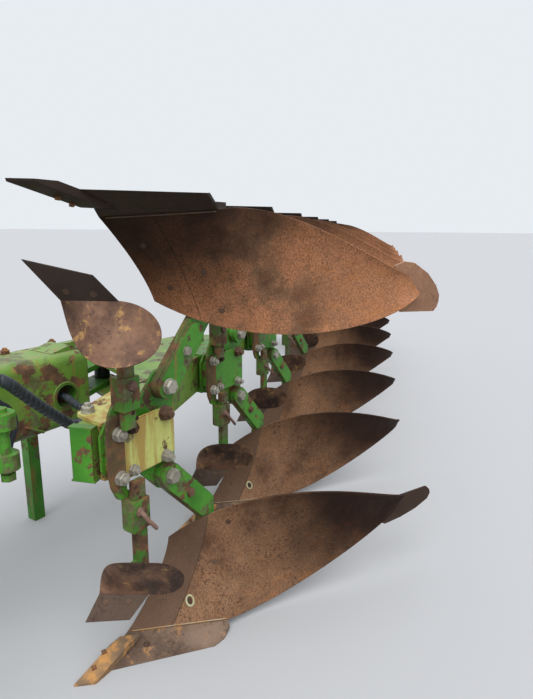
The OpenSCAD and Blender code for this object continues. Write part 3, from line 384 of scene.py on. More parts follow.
# Steel under rust: its tones, the level of noise past which orange flecks show, roughness from shiny to dull,
# metal, the scale of its pits, and how much painted shade darkens it below and above the upper bodies'
# heights
paintedShadeTone = (0.020, 0.011, 0.008)
upperBodyHeights = (0.80, 0.86)
steelDefaults = dict(rough=(0.55, 0.80), metal=0.0, fine=90.0, paintedShade=(0.0, 0.0))
steels = {
    "wornRust": dict(dark=(0.105, 0.066, 0.046), middle=(0.215, 0.140, 0.096), orange=(0.420, 0.200, 0.070),
                     pit=(0.060, 0.034, 0.022), flecks=0.57, rough=(0.50, 0.75), fine=70.0, paintedShade=(0.0, 0.88)),
    "pointRust": dict(dark=(0.170, 0.115, 0.075), middle=(0.400, 0.215, 0.085), orange=(0.520, 0.250, 0.075),
                      pit=(0.120, 0.070, 0.040), flecks=0.50, rough=(0.60, 0.85), fine=60.0,
                      paintedShade=(0.0, 0.97)),
    "headRust": dict(dark=(0.110, 0.058, 0.036), middle=(0.230, 0.125, 0.075), orange=(0.380, 0.170, 0.065),
                     pit=(0.070, 0.036, 0.024), flecks=0.58, paintedShade=(0.0, 0.3)),
    "boardHead": dict(dark=(0.070, 0.040, 0.026), middle=(0.140, 0.080, 0.050), orange=(0.220, 0.110, 0.050),
                      pit=(0.040, 0.024, 0.016), flecks=0.60, rough=(0.60, 0.80), paintedShade=(0.0, 0.30)),
    "ringSteel": dict(dark=(0.360, 0.350, 0.200), middle=(0.540, 0.540, 0.330), orange=(0.420, 0.330, 0.120),
                      pit=(0.200, 0.150, 0.080), flecks=0.58, rough=(0.60, 0.80)),
    "pinRust": dict(dark=(0.110, 0.062, 0.046), middle=(0.230, 0.135, 0.100), orange=(0.330, 0.170, 0.100),
                    pit=(0.070, 0.040, 0.030), flecks=0.60),
    "wornLine": dict(dark=(0.260, 0.180, 0.110), middle=(0.420, 0.330, 0.220), orange=(0.420, 0.240, 0.100),
                     pit=(0.160, 0.100, 0.060), flecks=0.50, rough=(0.60, 0.80), fine=40.0, paintedShade=(0.0, 0.75)),
    "freshRust": dict(dark=(0.120, 0.058, 0.030), middle=(0.230, 0.105, 0.045), orange=(0.420, 0.180, 0.060),
                      pit=(0.060, 0.030, 0.018), flecks=0.52, rough=(0.60, 0.85), metal=0.1, fine=80.0),
    "skimRust": dict(dark=(0.080, 0.040, 0.026), middle=(0.250, 0.128, 0.074), orange=(0.460, 0.260, 0.085),
                     pit=(0.060, 0.032, 0.022), flecks=0.56, rough=(0.48, 0.70), fine=75.0, paintedShade=(0.84, 0.10),
                     patchy=0.85),
    "tailRust": dict(dark=(0.290, 0.150, 0.092), middle=(0.420, 0.225, 0.135), orange=(0.500, 0.270, 0.120),
                     pit=(0.150, 0.080, 0.050), flecks=0.58, paintedShade=(0.93, 0.0)),
    "skimShare": dict(dark=(0.080, 0.050, 0.036), middle=(0.170, 0.108, 0.074), orange=(0.300, 0.150, 0.060),
                      pit=(0.050, 0.030, 0.022), flecks=0.60, rough=(0.50, 0.72), fine=80.0,
                      paintedShade=(0.45, 0.86)),
    "paleSteel": dict(dark=(0.260, 0.235, 0.190), middle=(0.420, 0.395, 0.330), orange=(0.330, 0.200, 0.110),
                      pit=(0.150, 0.120, 0.090), flecks=0.60, rough=(0.35, 0.60), metal=0.4, fine=80.0),
    "dullSteel": dict(dark=(0.110, 0.090, 0.070), middle=(0.210, 0.180, 0.150), orange=(0.260, 0.130, 0.060),
                      pit=(0.070, 0.055, 0.045), flecks=0.58, rough=(0.35, 0.60), metal=0.5, fine=80.0),
    "darkRust": dict(dark=(0.025, 0.014, 0.010), middle=(0.075, 0.036, 0.020), orange=(0.180, 0.070, 0.025),
                     pit=(0.015, 0.009, 0.007), flecks=0.58, metal=0.1, fine=80.0),
}


def speckles(tree, place, scale):
    # dark pits in clusters: fine noise past a level, where a wider noise lets it
    fine = patches(tree, place, scale, 5.0, 0.75, 0.52, 0.60)
    return times(tree, fine, patches(tree, place, scale / 9, 4.0, 0.55, 0.38, 0.62, 0.15, 1.0))


def makeSteel(name, values):
    # cloudy brown steel with pits, orange flecks, painted shade by height and a shine that follows the clouds
    values = {**steelDefaults, **values}
    material, tree, shader = newMaterial(name)
    place = objectPlace(tree)
    cloud = noise(tree, place, 5.0, 8.0, 0.65)
    pits = speckles(tree, place, values["fine"])
    level = values["flecks"]
    fleck = patches(tree, place, 20.0, 9.0, 0.74, level, level + 0.07, 0.0, 0.85)
    # painted shade: a dark tone on down-facing and overhung parts below or above the upper bodies' heights,
    # patchy for some
    paintedShade = between(tree, axisPart(tree, place, "Z"), *upperBodyHeights, *values["paintedShade"])
    if "patchy" in values:
        worn = patches(tree, place, 7.0, 8.0, 0.66, 0.40, 0.56, 1.0, 1.0 - values["patchy"])
        paintedShade = times(tree, paintedShade, worn)
    tone = layered(tree, values["dark"],
                   (between(tree, cloud, 0.35, 0.60), values["middle"]),
                   (times(tree, pits, 0.7), values["pit"]),
                   (fleck, values["orange"]),
                   (paintedShade, paintedShadeTone))
    shiny, dull = values["rough"]
    gloss = between(tree, cloud, 0.35, 0.65, dull, shiny)
    height = less(tree, times(tree, fleck, 0.3), times(tree, pits, 0.5))
    inputs = {"Base Color": tone, "Roughness": gloss, "Metallic": values["metal"], "Specular IOR Level": 0.3}
    finishSurface(tree, shader, inputs, height, 0.30, 0.003)
    return material


# The mouldboards' steel: tones, and where its painted shade lies: 0 to 1 along a board, plus a slope times 0
# to 1 across it. Between those two places the painted shade on lower boards grows, and the one on upper
# boards fades
boardTones = {
    "dark": (0.105, 0.052, 0.030),
    "middle": (0.225, 0.122, 0.068),
    "light": (0.290, 0.155, 0.082),
    # painted highlight: the upper boards' lighter tone, for tails that face up into the light
    "upperLitTone": (0.500, 0.215, 0.105),
    "orange": (0.430, 0.175, 0.066),
    "pit": (0.060, 0.030, 0.020),
    "paintedShade": (0.017, 0.008, 0.006),
    "shin": (0.115, 0.070, 0.048),
    "lowShade": (0.36, 0.78),
    "lowSlope": 0.32,
    "lowDepth": 0.93,
    "highShade": (0.20, 0.66),
    "highSlope": 0.45,
    "highDepth": 0.88,
    "shadeWave": 0.26,               # how far noise moves the painted shade's edge along the board
    "glowStretch": (9.0, 9.0, 22.0),
    "finePits": 150.0,
    "coarsePits": 75.0,
}


def makeBoardSteel(name, values):
    # brown rust that is pitted, with orange clouds; painted shade darkens lower tails and upper fronts, a
    # painted highlight lightens the upper boards, shins greyer
    material, tree, shader = newMaterial(name)
    place = objectPlace(tree)
    spot = addNode(tree, "ShaderNodeUVMap", {"uv_map": "along"}).outputs["UV"]
    along, across = axisPart(tree, spot, "X"), axisPart(tree, spot, "Y")
    high = between(tree, axisPart(tree, place, "Z"), *upperBodyHeights)
    wave = times(tree, less(tree, noise(tree, place, 6.0, 6.0, 0.6), 0.5), values["shadeWave"])
    start = maths(tree, "ADD", along, wave)
    lowPlace = maths(tree, "ADD", start, times(tree, across, values["lowSlope"]))
    highPlace = maths(tree, "ADD", start, times(tree, across, values["highSlope"]))
    # painted shade: lower tails and upper fronts, which face down, darkened along and across the board
    lowShade = between(tree, lowPlace, *values["lowShade"], 0.0, values["lowDepth"])
    highShade = between(tree, highPlace, *values["highShade"], values["highDepth"], 0.0)
    paintedShade = addNode(tree, "ShaderNodeMix", i0=high, i2=lowShade, i3=highShade).outputs[0]
    cloud = noise(tree, place, 4.0, 9.0, 0.66)
    # painted highlight: upper boards take the lighter tone
    light = mixColour(tree, high, values["light"], values["upperLitTone"])
    stretched = objectPlace(tree, values["glowStretch"])
    glow = patches(tree, stretched, 1.0, 8.0, 0.7, 0.50, 0.60, 0.0, 0.6)
    glow = times(tree, glow, between(tree, along, 0.25, 0.6, 0.2, 1.0))
    fewer = less(tree, 1.0, times(tree, high, 0.75))
    coarse = times(tree, speckles(tree, place, values["coarsePits"]), fewer)
    pits = largest(tree, coarse, times(tree, speckles(tree, place, values["finePits"]), 0.8))
    grain = patches(tree, place, 170.0, 3.0, 0.7, 0.44, 0.58, 0.0, 0.55)
    shinPart = between(tree, along, board["shinEnd"] - 0.002, board["shinEnd"] + 0.002, 0.75, 0.0)
    tone = layered(tree, values["dark"],
                   (between(tree, cloud, 0.34, 0.48), values["middle"]),
                   (between(tree, cloud, 0.44, 0.60), light),
                   # painted highlight: upper boards lighter still along their tails
                   (times(tree, between(tree, along, 0.3, 0.6, 0.0, 0.75), high), light),
                   (glow, values["orange"]),
                   (times(tree, pits, 0.85), values["pit"]),
                   (grain, values["dark"]),
                   (paintedShade, values["paintedShade"]),
                   (times(tree, shinPart, less(tree, 1.0, high)), values["shin"]))
    gloss = between(tree, cloud, 0.35, 0.62, 0.72, 0.52)
    bump = less(tree, times(tree, grain, 0.3), times(tree, pits, 0.6))
    inputs = {"Base Color": tone, "Roughness": gloss, "Specular IOR Level": 0.10}
    finishSurface(tree, shader, inputs, bump, 0.35, 0.003)
    return material


# Plain dark finishes
plains = {
    "blackPaint": {"colour": (0.016, 0.017, 0.018), "dust": (0.09, 0.085, 0.075), "rough": 0.45},
    "tyreRubber": {"colour": (0.018, 0.018, 0.018), "dust": (0.13, 0.12, 0.10), "rough": 0.80},
    "hoseRubber": {"colour": (0.022, 0.028, 0.036), "dust": (0.075, 0.085, 0.095), "rough": 0.50},
}


def makePlain(name, values):
    # one dark colour with cloudy dust on it
    material, tree, shader = newMaterial(name)
    place = objectPlace(tree)
    dust = patches(tree, place, 12.0, 6.0, 0.65, 0.45, 0.75, 0.0, 0.7)
    colour = mixColour(tree, dust, values["colour"], values["dust"])
    inputs = {"Base Color": colour, "Roughness": values["rough"]}
    finishSurface(tree, shader, inputs, noise(tree, place, 200.0), 0.15, 0.002)
    return material


# Mouldboards: guide curves with four control points each in millimetres, as in the part's source
board = {
    "shin": ((-80, -117, 33), (-190, -117, 80), (-318, -117, 230), (-327, -117, 315)),
    "top": ((-327, -117, 315), (-585, 310, 700), (-965, 770, 380), (-1258, 575, 330)),
    "low": ((-345, 175, 40), (-705, 290, -20), (-975, 685, 385), (-1240, 572, 290)),
    "shareEnd": 0.25,       # part of the lower edge that meets the share
    "shinEnd": 0.11,        # part of the length that is the shin piece
    "shinGap": 0.001,
    "tailCut": 0.85,        # where the first pair ends and carries tail pieces
    "tailRound": 0.035,     # part of the length by which the other tails are rounded off
    "thickness": 0.009,
    "bow": 0.026,           # depth of the hollow, along the way that follows
    "bowWay": (-0.7, -0.7, 0.0),
    "rows": 90,             # of the grid over a whole board
    "columns": 28,
}
highBoard = dict(
    board,
    shin=((-66, -117, 76), (-160, -117, 165), (-258, -117, 275), (-300, -117, 372)),
    top=((-300, -117, 372), (-590, 310, 655), (-965, 770, 395), (-1258, 575, 330)),
    low=((-330, 160, 47), *board["low"][1:]),
)
boardPair = ((board, False), (highBoard, True))     # each shape, and whether it lies above the beam

materials = {name: makePaint(name, values) for name, values in paints.items()}
materials.update({name: makeSteel(name, values) for name, values in steels.items()})
materials.update({name: makePlain(name, values) for name, values in plains.items()})
materials["boardRust"] = makeBoardSteel("boardRust", boardTones)
makeCamera(cameraView)
bpy.context.scene.view_settings.view_transform = "Standard"
makeStudio(studio)
print("camera, studio and", len(materials), "materials made")

# Finish of each solid, by its slot, and the nodes that differ from their slot
slotFinish = {
    "green_paint": "greenPaint", "faded_paint": "fadedPaint", "rusty_board": "boardRust",
    "worn_share": "wornRust", "bare_steel": "dullSteel", "black_steel": "blackPaint", "tyre": "tyreRubber",
    "hose_rubber": "hoseRubber",
}
nodeFinish = {
    "front_frame": "boxPaint", "hose_tube": "chippedBrown", "frame_cap": "frameGreen",
    "linkage_straps": "frameGreen", "turnover_block": "frameGreen", "main_beam": "frameGreen",
    "pivot_plates": "frameGreen",
    "skimmer_stalks": "chippedBrown", "skimmer_brackets": "holderPaint", "bar_points": "pointRust",
    "legs_lower": "legPaint", "legs_upper": "legPaint", "leg_doublers": "legPaint",
    "tail_pieces": "tailRust", "skimmer_shares": "skimShare",
}


def dressNodes():
    # every solid gets its own finish
    slots = {part["node"]: part["material_slot"] for part in record["subparts"]}
    for name, node in nodes.items():
        finish = nodeFinish.get(name, slotFinish[slots[name]])
        node.data.materials.clear()
        node.data.materials.append(materials[finish])


dressNodes()
print("solids dressed")


# Shapes as numpy grids

def bezier(points, t):
    # a cubic with four control points, at every t
    p = np.array(points, float)
    t = np.asarray(t, float)[..., None]
    return (1 - t) ** 3 * p[0] + 3 * t * (1 - t) ** 2 * p[1] + 3 * t * t * (1 - t) * p[2] + t ** 3 * p[3]


def unit(v):
    # vectors divided by their length
    v = np.asarray(v, float)
    return v / np.maximum(np.linalg.norm(v, axis=-1, keepdims=True), 1e-12)


def gridNormals(grid):
    # normals of a grid of points, square to its differences along both ways
    return unit(np.cross(np.gradient(grid, axis=0), np.gradient(grid, axis=1)))


def gridFaces(rows, cols, start=0, wrap=False, ring=False):
    # four-sided faces between a grid's points; wrap joins its last column to its first, and ring its rows
    i = np.arange(rows if ring else rows - 1)[:, None]
    j = np.arange(cols if wrap else cols - 1)[None, :]
    here, after = i * cols, (i + 1) % rows * cols
    k = (j + 1) % cols
    return start + np.stack([here + j, here + k, after + k, after + j], axis=-1).reshape(-1, 4)


def shell(front, back):
    # a closed plate between a front grid and a back grid
    rows, cols = front.shape[:2]
    count = rows * cols
    faces = [gridFaces(rows, cols)[:, ::-1], gridFaces(rows, cols, count)]
    rim = np.concatenate([np.arange(cols), np.arange(1, rows) * cols + cols - 1,
                          (rows - 1) * cols + np.arange(cols - 2, -1, -1), np.arange(rows - 2, 0, -1) * cols])
    after = np.roll(rim, -1)
    faces.append(np.stack([rim, after, after + count, rim + count], axis=-1))
    return np.concatenate([front.reshape(-1, 3), back.reshape(-1, 3)]), np.concatenate(faces).tolist()


def loft(rings):
    # a closed solid through rings of points, capped at both ends
    rows, cols = rings.shape[:2]
    faces = gridFaces(rows, cols, wrap=True).tolist()
    faces.append(list(range(cols - 1, -1, -1)))
    faces.append(list(range((rows - 1) * cols, rows * cols)))
    return rings.reshape(-1, 3), faces


def turned(profile, sides=24, radii=None):
    # a solid turned about Z from (radius, height) pairs; radii scales the radius round the circle
    angle = 2 * math.pi * np.arange(sides) / sides
    radius, height = np.array(profile, float).T[..., None]
    radius = radius * (1.0 if radii is None else radii(angle))
    return loft(np.stack([radius * np.cos(angle), radius * np.sin(angle), height + 0 * angle], axis=-1))


def hexScale(angle):
    # how much further out a hexagon's edge is than its flats
    return 1 / np.cos((angle + math.pi / 6) % (math.pi / 3) - math.pi / 6)


def aimed(shape, place, axis, spin=0.0):
    # a shape made along Z, turned about Z by the spin, then to an axis, and moved to a place
    z = unit(axis)
    x = unit(np.cross([0.0, 0.0, 1.0] if abs(z[2]) < 0.9 else [1.0, 0.0, 0.0], z))
    y = np.cross(z, x)
    turn = np.array([[math.cos(spin), -math.sin(spin), 0], [math.sin(spin), math.cos(spin), 0], [0, 0, 1]])
    return shape[0] @ turn.T @ np.array([x, y, z]) + np.asarray(place), shape[1]


def moved(shape, shift):
    # a shape with the shift added
    return shape[0] + np.asarray(shift), shape[1]


def mirroredUp(shape):
    # the copy above the beam: z becomes twice the beam's height less z, and the faces are turned to point out
    verts = shape[0] * [1, 1, -1] + [0, 0, 2 * plough["beamHeight"]]
    return verts, [list(f)[::-1] for f in shape[1]]


def onSide(shape, upper):
    # the shape itself, or its copy above the beam
    return mirroredUp(shape) if upper else shape


def atLegs(shapes, first=0, stop=None):
    # copies in the frame, each one pitch back and one furrow to the right of the one before
    out = []
    for k in range(first, stop or plough["furrows"]):
        shift = np.array([-k * plough["pitch"], -k * plough["furrow"], 0]) + plough["origin"]
        out += [moved(shape, shift) for shape in shapes]
    return out


allLegs, laterLegs, firstLeg = (0, None), (1, None), (0, 1)     # the first leg and the one to stop before


def legPlace(x, y, z):
    # metres in the first leg's layout, from millimetres with the height over the beam's middle
    return np.array([x, y, z]) / 1000 + [0, 0, plough["beamHeight"]]


def makePiece(name, finish, shapes, body="root", sharp=35.0, uv=None):
    # joins shapes into one piece with a finish, on a body
    verts, faces, start = [], [], 0
    for points, polygons in shapes:
        verts.append(points)
        faces += [[i + start for i in polygon] for polygon in polygons]
        start += len(points)
    mesh = bpy.data.meshes.new(name)
    mesh.from_pydata(np.concatenate(verts).tolist(), [], faces)
    mesh.shade_smooth()
    mesh.set_sharp_from_angle(angle=math.radians(sharp))
    mesh.materials.append(materials[finish])
    if uv is not None:
        loops = np.empty(len(mesh.loops), dtype=np.int32)
        mesh.loops.foreach_get("vertex_index", loops)
        layer = mesh.uv_layers.new(name="along")
        layer.data.foreach_set("uv", np.concatenate(uv)[loops].ravel())
    piece = addObject(name, mesh)
    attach(piece, body)
    return piece


def boardSurface(shape, u, v):
    # the board's face: between its low and top edges, carried by the shin curve, with a hollow in the middle
    shin, top, low = (np.array(shape[key]) / 1000 for key in ("shin", "top", "low"))
    joint = shape["shareEnd"]
    start = shin[0] + (low[0] - shin[0]) * np.clip(u / joint, 0, 1)[..., None]
    edge = np.where((u < joint)[..., None], start, bezier(low, np.clip((u - joint) / (1 - joint), 0, 1)))
    chord = shin[0] + (shin[3] - shin[0]) * v[..., None]
    face = edge + (bezier(top, u) - edge) * v[..., None] + (1 - u)[..., None] * (bezier(shin, v) - chord)
    hollow = shape["bow"] * 4 * v * (1 - v) * np.sin(math.pi * u)
    return face + hollow[..., None] * np.array(shape["bowWay"])


def boardShape(shape, start, end, rounded):
    # one stretch of a board as a plate; its tail is rounded off by the given part of its length
    rows, cols = max(8, int(shape["rows"] * (end - start))), shape["columns"]
    v = np.linspace(0, 1, cols)[None, :].repeat(rows, 0)
    reach = end - rounded * np.abs(2 * v - 1) ** 2.4
    u = start + (reach - start) * np.linspace(0, 1, rows)[:, None]
    face = boardSurface(shape, u, v)
    back = face - shape["thickness"] * gridNormals(face)
    places = np.stack([u, v], axis=-1).reshape(-1, 2)
    return shell(face, back), np.concatenate([places, places])


def makeBoards():
    # shins and boards of all bodies, the first pair cut for its tail pieces
    shapes, places = [], []
    for k in range(plough["furrows"]):
        end, rounded = (board["tailCut"], 0.0) if k == 0 else (1.0, board["tailRound"])
        shinStretch = (0.0, board["shinEnd"] - board["shinGap"], 0.0)
        for shape, upper in boardPair:
            for stretch in (shinStretch, (board["shinEnd"], end, rounded)):
                plate, uv = boardShape(shape, *stretch)
                shapes += atLegs([onSide(plate, upper)], k, k + 1)
                places.append(uv)
    piece = makePiece("mouldboards", "boardRust", shapes, uv=places)
    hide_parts("boards_lower", "boards_upper", "shins_lower", "shins_upper")


# Skimmer: rim of its board in millimetres, with heights above its cutting edge
skimmer = {
    "rim": ((67, -73, 77), (13, -117, 168), (131, 46, 278), (26, 149, 257),
            (-79, 251, 235), (-82, 226, 86), (-22, 75, 78)),
    "corners": (0.34, 1.62),        # of its top edge: 0 to 1 on the rim's first curve, 1 to 2 on its second
    "height": 0.243,
    "thickness": 0.006,
    "backWay": (-0.75, -0.6, -0.2),
    "upperAhead": 0.064,
}


def skimmerSurface(shape, u, v):
    # between the rim's two sides, each point raised by how far the top edge is from its own corners' chord
    rim = np.array(shape["rim"]) / 1000
    first, second = shape["corners"]

    def along(t):
        # a place on the rim, on its second curve from t = 1
        t = np.asarray(t)
        one, two = bezier(rim[:4], np.clip(t, 0, 1)), bezier(rim[3:], np.clip(t - 1, 0, 1))
        return np.where((t < 1)[..., None], one, two)

    u3, v3 = u[..., None], v[..., None]
    left, right = along(v * first), along(2 - v * (2 - second))
    top = along(first + (second - first) * u)
    chord = along(first) + (along(second) - along(first)) * u3
    return left + (right - left) * u3 + (top - chord) * v3 + [0, 0, shape["height"]]


def makeSkimmerBoards():
    # skimmer boards of all bodies, the upper ones further forward
    u, v = np.meshgrid(np.linspace(0, 1, 44), np.linspace(0, 1, 22), indexing="ij")
    face = skimmerSurface(skimmer, u, v)
    plate = shell(face, face + skimmer["thickness"] * unit(skimmer["backWay"]))
    shapes = atLegs([plate, mirroredUp(moved(plate, [skimmer["upperAhead"], 0, 0]))])
    uv = np.stack([u, v], axis=-1).reshape(-1, 2)
    piece = makePiece("skimmerBoards", "skimRust", shapes, uv=[np.concatenate([uv, uv])] * len(shapes))
    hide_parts("skimmer_boards")


makeBoards()
makeSkimmerBoards()
print("boards made")


# Fasteners, made along Z on a face at 0, in metres

def hexNut(across, height, boltOut=0.5):
    # nut on a washer, with the bolt's end coming out by a part of its half width
    half = across / 2
    out = half * boltOut
    onWasher = [0, 0, 0.003]
    nut = turned([(half, 0), (half, height * 0.86), (half * 0.90, height)], 24, hexScale)
    bolt = turned([(half * 0.58, height * 0.9), (half * 0.58, height + out * 0.85),
                   (half * 0.50, height + out)], 16)
    washer = turned([(half * 1.22, -0.001), (half * 1.22, 0.003), (half * 1.16, 0.004)], 24)
    return [moved(nut, onWasher), moved(bolt, onWasher), washer]


def hexBolt(across, height):
    # bolt head with a rounded top on a washer
    half = across / 2
    head = turned([(half, 0.003), (half, height * 0.8), (half * 0.88, height)], 24, hexScale)
    return [head, turned([(half * 1.2, -0.001), (half * 1.2, 0.003)], 24)]


def fitted(parts, spot, axis, spin=0.0):
    # parts set at a spot in millimetres in the first leg's layout, and turned to an axis
    return [aimed(part, legPlace(*spot), axis, spin) for part in parts]


left, up, down, ahead = (0, 1, 0), (0, 0, 1), (0, 0, -1), (1, 0, 0)

# Fasteners on each leg's left side: their finish and legs, then for each one its shape, its size in metres,
# its spot in millimetres with the height over the beam's middle, the way that it faces, and its turn
legFasteners = {
    "paleNuts": ("paleSteel", allLegs, (
        (hexNut, (0.042, 0.020), (17, 12, 77), left, 0.3),
        (hexNut, (0.042, 0.020), (17, 12, -77), left, 0.1),
        (hexNut, (0.034, 0.016), (-50, 0, -77), left, 0.2),
        (hexNut, (0.038, 0.022, 0.8), (-208, 0, -82), left, 0.2),
        (hexBolt, (0.050, 0.022), (-235, 2, 174), left, 0.25),
        (hexBolt, (0.050, 0.022), (-235, 2, -174), left, 0.45),
        (hexBolt, (0.032, 0.013), (-335, 2, 285), left, 0.1))),
    "rustyNuts": ("headRust", allLegs, (
        (hexNut, (0.046, 0.022, 0.7), (-208, 0, 82), left, 0.4),
        (hexBolt, (0.032, 0.013), (-335, 2, -285), left, 0.3))),
    "darkNuts": ("darkRust", allLegs, ((hexNut, (0.036, 0.018), (-50, 0, 77), left, 0.5),)),
}


def makeFasteners(table):
    # one piece for each row of a table, with its nuts and bolts repeated at its legs
    for name, (finish, legs, rows) in table.items():
        parts = []
        for make, size, spot, axis, spin in rows:
            parts += fitted(make(*size), spot, axis, spin)
        makePiece(name, finish, atLegs(parts, *legs))


makeFasteners(legFasteners)
print("fasteners made")


# Pieces carried along a line

def smoothLine(points, step):
    # the smooth line through points that the part's hoses follow, with a place every step metres
    p = np.array(points, float)
    p = np.concatenate([p[:1], p, p[-1:]])
    count = len(points) - 1
    t = np.linspace(0, count, 60 * count + 1)
    i = np.minimum(t.astype(int), count - 1)
    f = (t - i)[:, None]
    a, b, c, d = p[i], p[i + 1], p[i + 2], p[i + 3]
    second, third = 2 * a - 5 * b + 4 * c - d, 3 * b - 3 * c + d - a
    line = 0.5 * (2 * b + (c - a) * f + second * f ** 2 + third * f ** 3)
    along = np.concatenate([[0], np.cumsum(np.linalg.norm(np.diff(line, axis=0), axis=1))])
    places = np.linspace(0, along[-1], max(2, int(along[-1] / step)) + 1)
    return np.stack([np.interp(places, along, line[:, k]) for k in range(3)], axis=1), places


def swept(line, radius, sides, aside=(-0.6, 1.0, 0.35)):
    # rings of the given radius, one number or one for each ring and side, square to a line
    way = unit(np.gradient(line, axis=0))
    first = unit(np.cross(way, aside))
    second = np.cross(way, first)
    angle = 2 * math.pi * np.arange(sides) / sides
    radius = np.broadcast_to(radius, (len(line), sides))[..., None]
    ring = np.cos(angle)[None, :, None] * first[:, None] + np.sin(angle)[None, :, None] * second[:, None]
    return loft(line[:, None] + radius * ring)


def weldBead(points, radius):
    # a bead along a line, whose radius swells every 9 mm
    line, along = smoothLine(points, 0.0025)
    swell = radius * (0.85 + 0.25 * np.abs(np.sin(math.pi * along / 0.009)))
    return swept(line, swell[:, None], 8)


# Hoses: routes in millimetres in the first leg's layout, as in the part's source, and their wrap in metres
hoses = {
    "beamAngle": math.atan2(plough["furrow"], plough["pitch"]),
    "beamUnions": -196,       # the unions' outer ends across the beam
    "straight": (52, 26, 0),  # the last points before a union on the beam, by how far out they are
    "wrapPitch": 0.032,
    "wrapGap": 0.065,         # share of the pitch that is the groove between two turns
    "wrapDepth": 0.0055,
    "wrapSlant": 0.0014,
    "main": {"radius": 0.022, "end": (-421, 790), "wrapped": True, "route": (
        (300, -620, 1049.5), (300, -620, 1074.5), (300, -620, 1104.5), (272, -520, 1125),
        (174, -362, 1073), (89, -394, 1004), (-5, -430, 919), (-113, -471, 829),
        (-173, -493, 782), (-240, -470, 770), (-290, -415, 778))},
    "tube": {"radius": 0.017, "end": (-480, 848), "wrapped": True, "route": (
        (-318, -1010, 715), (-318, -1035, 715), (-318, -1060, 715), (-318, -1088, 768),
        (-318, -1045, 812), (-320, -980, 826), (-322, -850, 823), (-332, -735, 812),
        (-306, -650, 812), (-278, -560, 812), (-288, -490, 822))},
    "loop": {"radius": 0.011, "end": None, "wrapped": False, "route": (
        (335, -560, 1049.5), (335, -560, 1069.5), (335, -560, 1091.5), (262, -480, 1062),
        (180, -440, 1012), (143, -430, 970), (118, -430, 947), (99, -430, 906),
        (101, -430, 864), (118, -432, 822), (135, -438, 770), (170, -440, 735),
        (208, -444, 727), (230, -456, 725), (230, -474, 725), (230, -492, 725))},
}
collar = {
    "rise": 0.0035,       # over the hose's radius, on its ribs
    "groove": 0.0018,     # and between them
    "ribs": 4,
    "ribPitch": 0.007,
    "length": 0.036,
}


def hoseRoute(hose):
    # the route's points, then the straight ones at a union on the beam, turned by the beam's angle
    route = [hose["route"]]
    if hose["end"] is not None:
        (s, z), out = hose["end"], np.array(hoses["straight"])
        cos, sin = math.cos(hoses["beamAngle"]), math.sin(hoses["beamAngle"])
        across = hoses["beamUnions"] - out
        route.append(np.stack([s * cos - across * sin, s * sin + across * cos, z + 0 * out], axis=1))
    return np.concatenate(route) / 1000


def ferrule(start, way, radius):
    # a crimped collar over the end of a hose, ribbed along its length
    rise, low = radius + collar["rise"], radius + collar["groove"]
    rib = [(radius + 0.001, 0.0), (rise, 0.002)]
    for k in range(collar["ribs"]):
        base = 0.004 + collar["ribPitch"] * k
        rib += [(rise, base), (low, base + 0.0015), (low, base + 0.003), (rise, base + 0.0045)]
    rib += [(rise, collar["length"] - 0.002), (radius + 0.0005, collar["length"])]
    return aimed(turned(rib, 24), start, way)


def makeHoses():
    # hoses with grooves that wind round them, and a collar at each end
    tubes, collars = [], []
    for name in ("main", "tube", "loop"):
        hose = hoses[name]
        step, sides = (0.0022, 20) if hose["wrapped"] else (0.006, 16)
        line, along = smoothLine(hoseRoute(hose), step)
        radius = np.full((len(line), sides), hose["radius"])
        if hose["wrapped"]:
            turn = along[:, None] / hoses["wrapPitch"] - np.arange(sides)[None, :] / sides
            groove = np.exp(-(((turn % 1) - 0.5) / hoses["wrapGap"]) ** 2)
            radius = radius - hoses["wrapDepth"] * groove - hoses["wrapSlant"] * ((turn + 0.5) % 1)
        tubes.append(swept(line, radius, sides))
        collars.append(ferrule(line[0], line[4] - line[0], hose["radius"]))
        collars.append(ferrule(line[-1], line[-5] - line[-1], hose["radius"]))
    piece = makePiece("wrappedHoses", "hoseRubber", atLegs(tubes, *firstLeg), sharp=60.0)
    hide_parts("hoses")
    makePiece("hoseCollars", "dullSteel", atLegs(collars, *firstLeg))


makeHoses()
print("hoses made")

# Bolts in boards and shares, sizes in metres: places along and across a board, and on flat pieces their spots
# in millimetres over the floor and the way that they face
boardBolts = {
    "boardSpots": ((0.050, 0.30), (0.060, 0.72), (0.160, 0.50), (0.170, 0.84)),
    "boardRadius": 0.010,
    "flatRadius": 0.011,
    "gap": 0.0007,
    "share": (((-90, -20, 21.5), (-175, 45, 23.5)), (0.19, 0.15, 0.97), 0.0),
    "skimmer": (((64.1, -47.3, 293.6), (20.9, 19.7, 300.3)), (0.80, 0.48, 0.38), skimmer["upperAhead"]),
    "point": (((97, -93.8, 24.6), (40, -106, 41.0)), (0.24, 0.21, 0.95)),
    "pointHalf": 0.011,                     # half the width across corners of the bar points' square heads
    "ringSpot": (0.128, 0.215),
    "ringSize": (0.014, 0.020, 0.0042),     # half width, half length and thickness
    "lineFrom": 0.012,                      # the worn line near a board's lower edge, along the board
    "lineTo": 0.245,
    "lineThick": 0.0026,
}


def boardSpot(shape, u, v):
    # a place on a board's face and the way that it faces there
    near = np.array([-1, 0, 1])
    grid = boardSurface(shape, *np.meshgrid(u + 0.005 * near, v + 0.01 * near, indexing="ij"))
    return grid[1, 1], gridNormals(grid)[1, 1]


def flushBolt(place, axis, radius):
    # a countersunk head that is flush with its plate, inside a fine dark gap
    wide = radius + boardBolts["gap"]
    head = turned([(radius, -0.001), (radius, 0.0006), (radius * 0.3, 0.0010)], 20)
    gap = turned([(wide, -0.001), (wide, 0.0003)], 20)
    return aimed(head, place, axis), aimed(gap, place, axis)


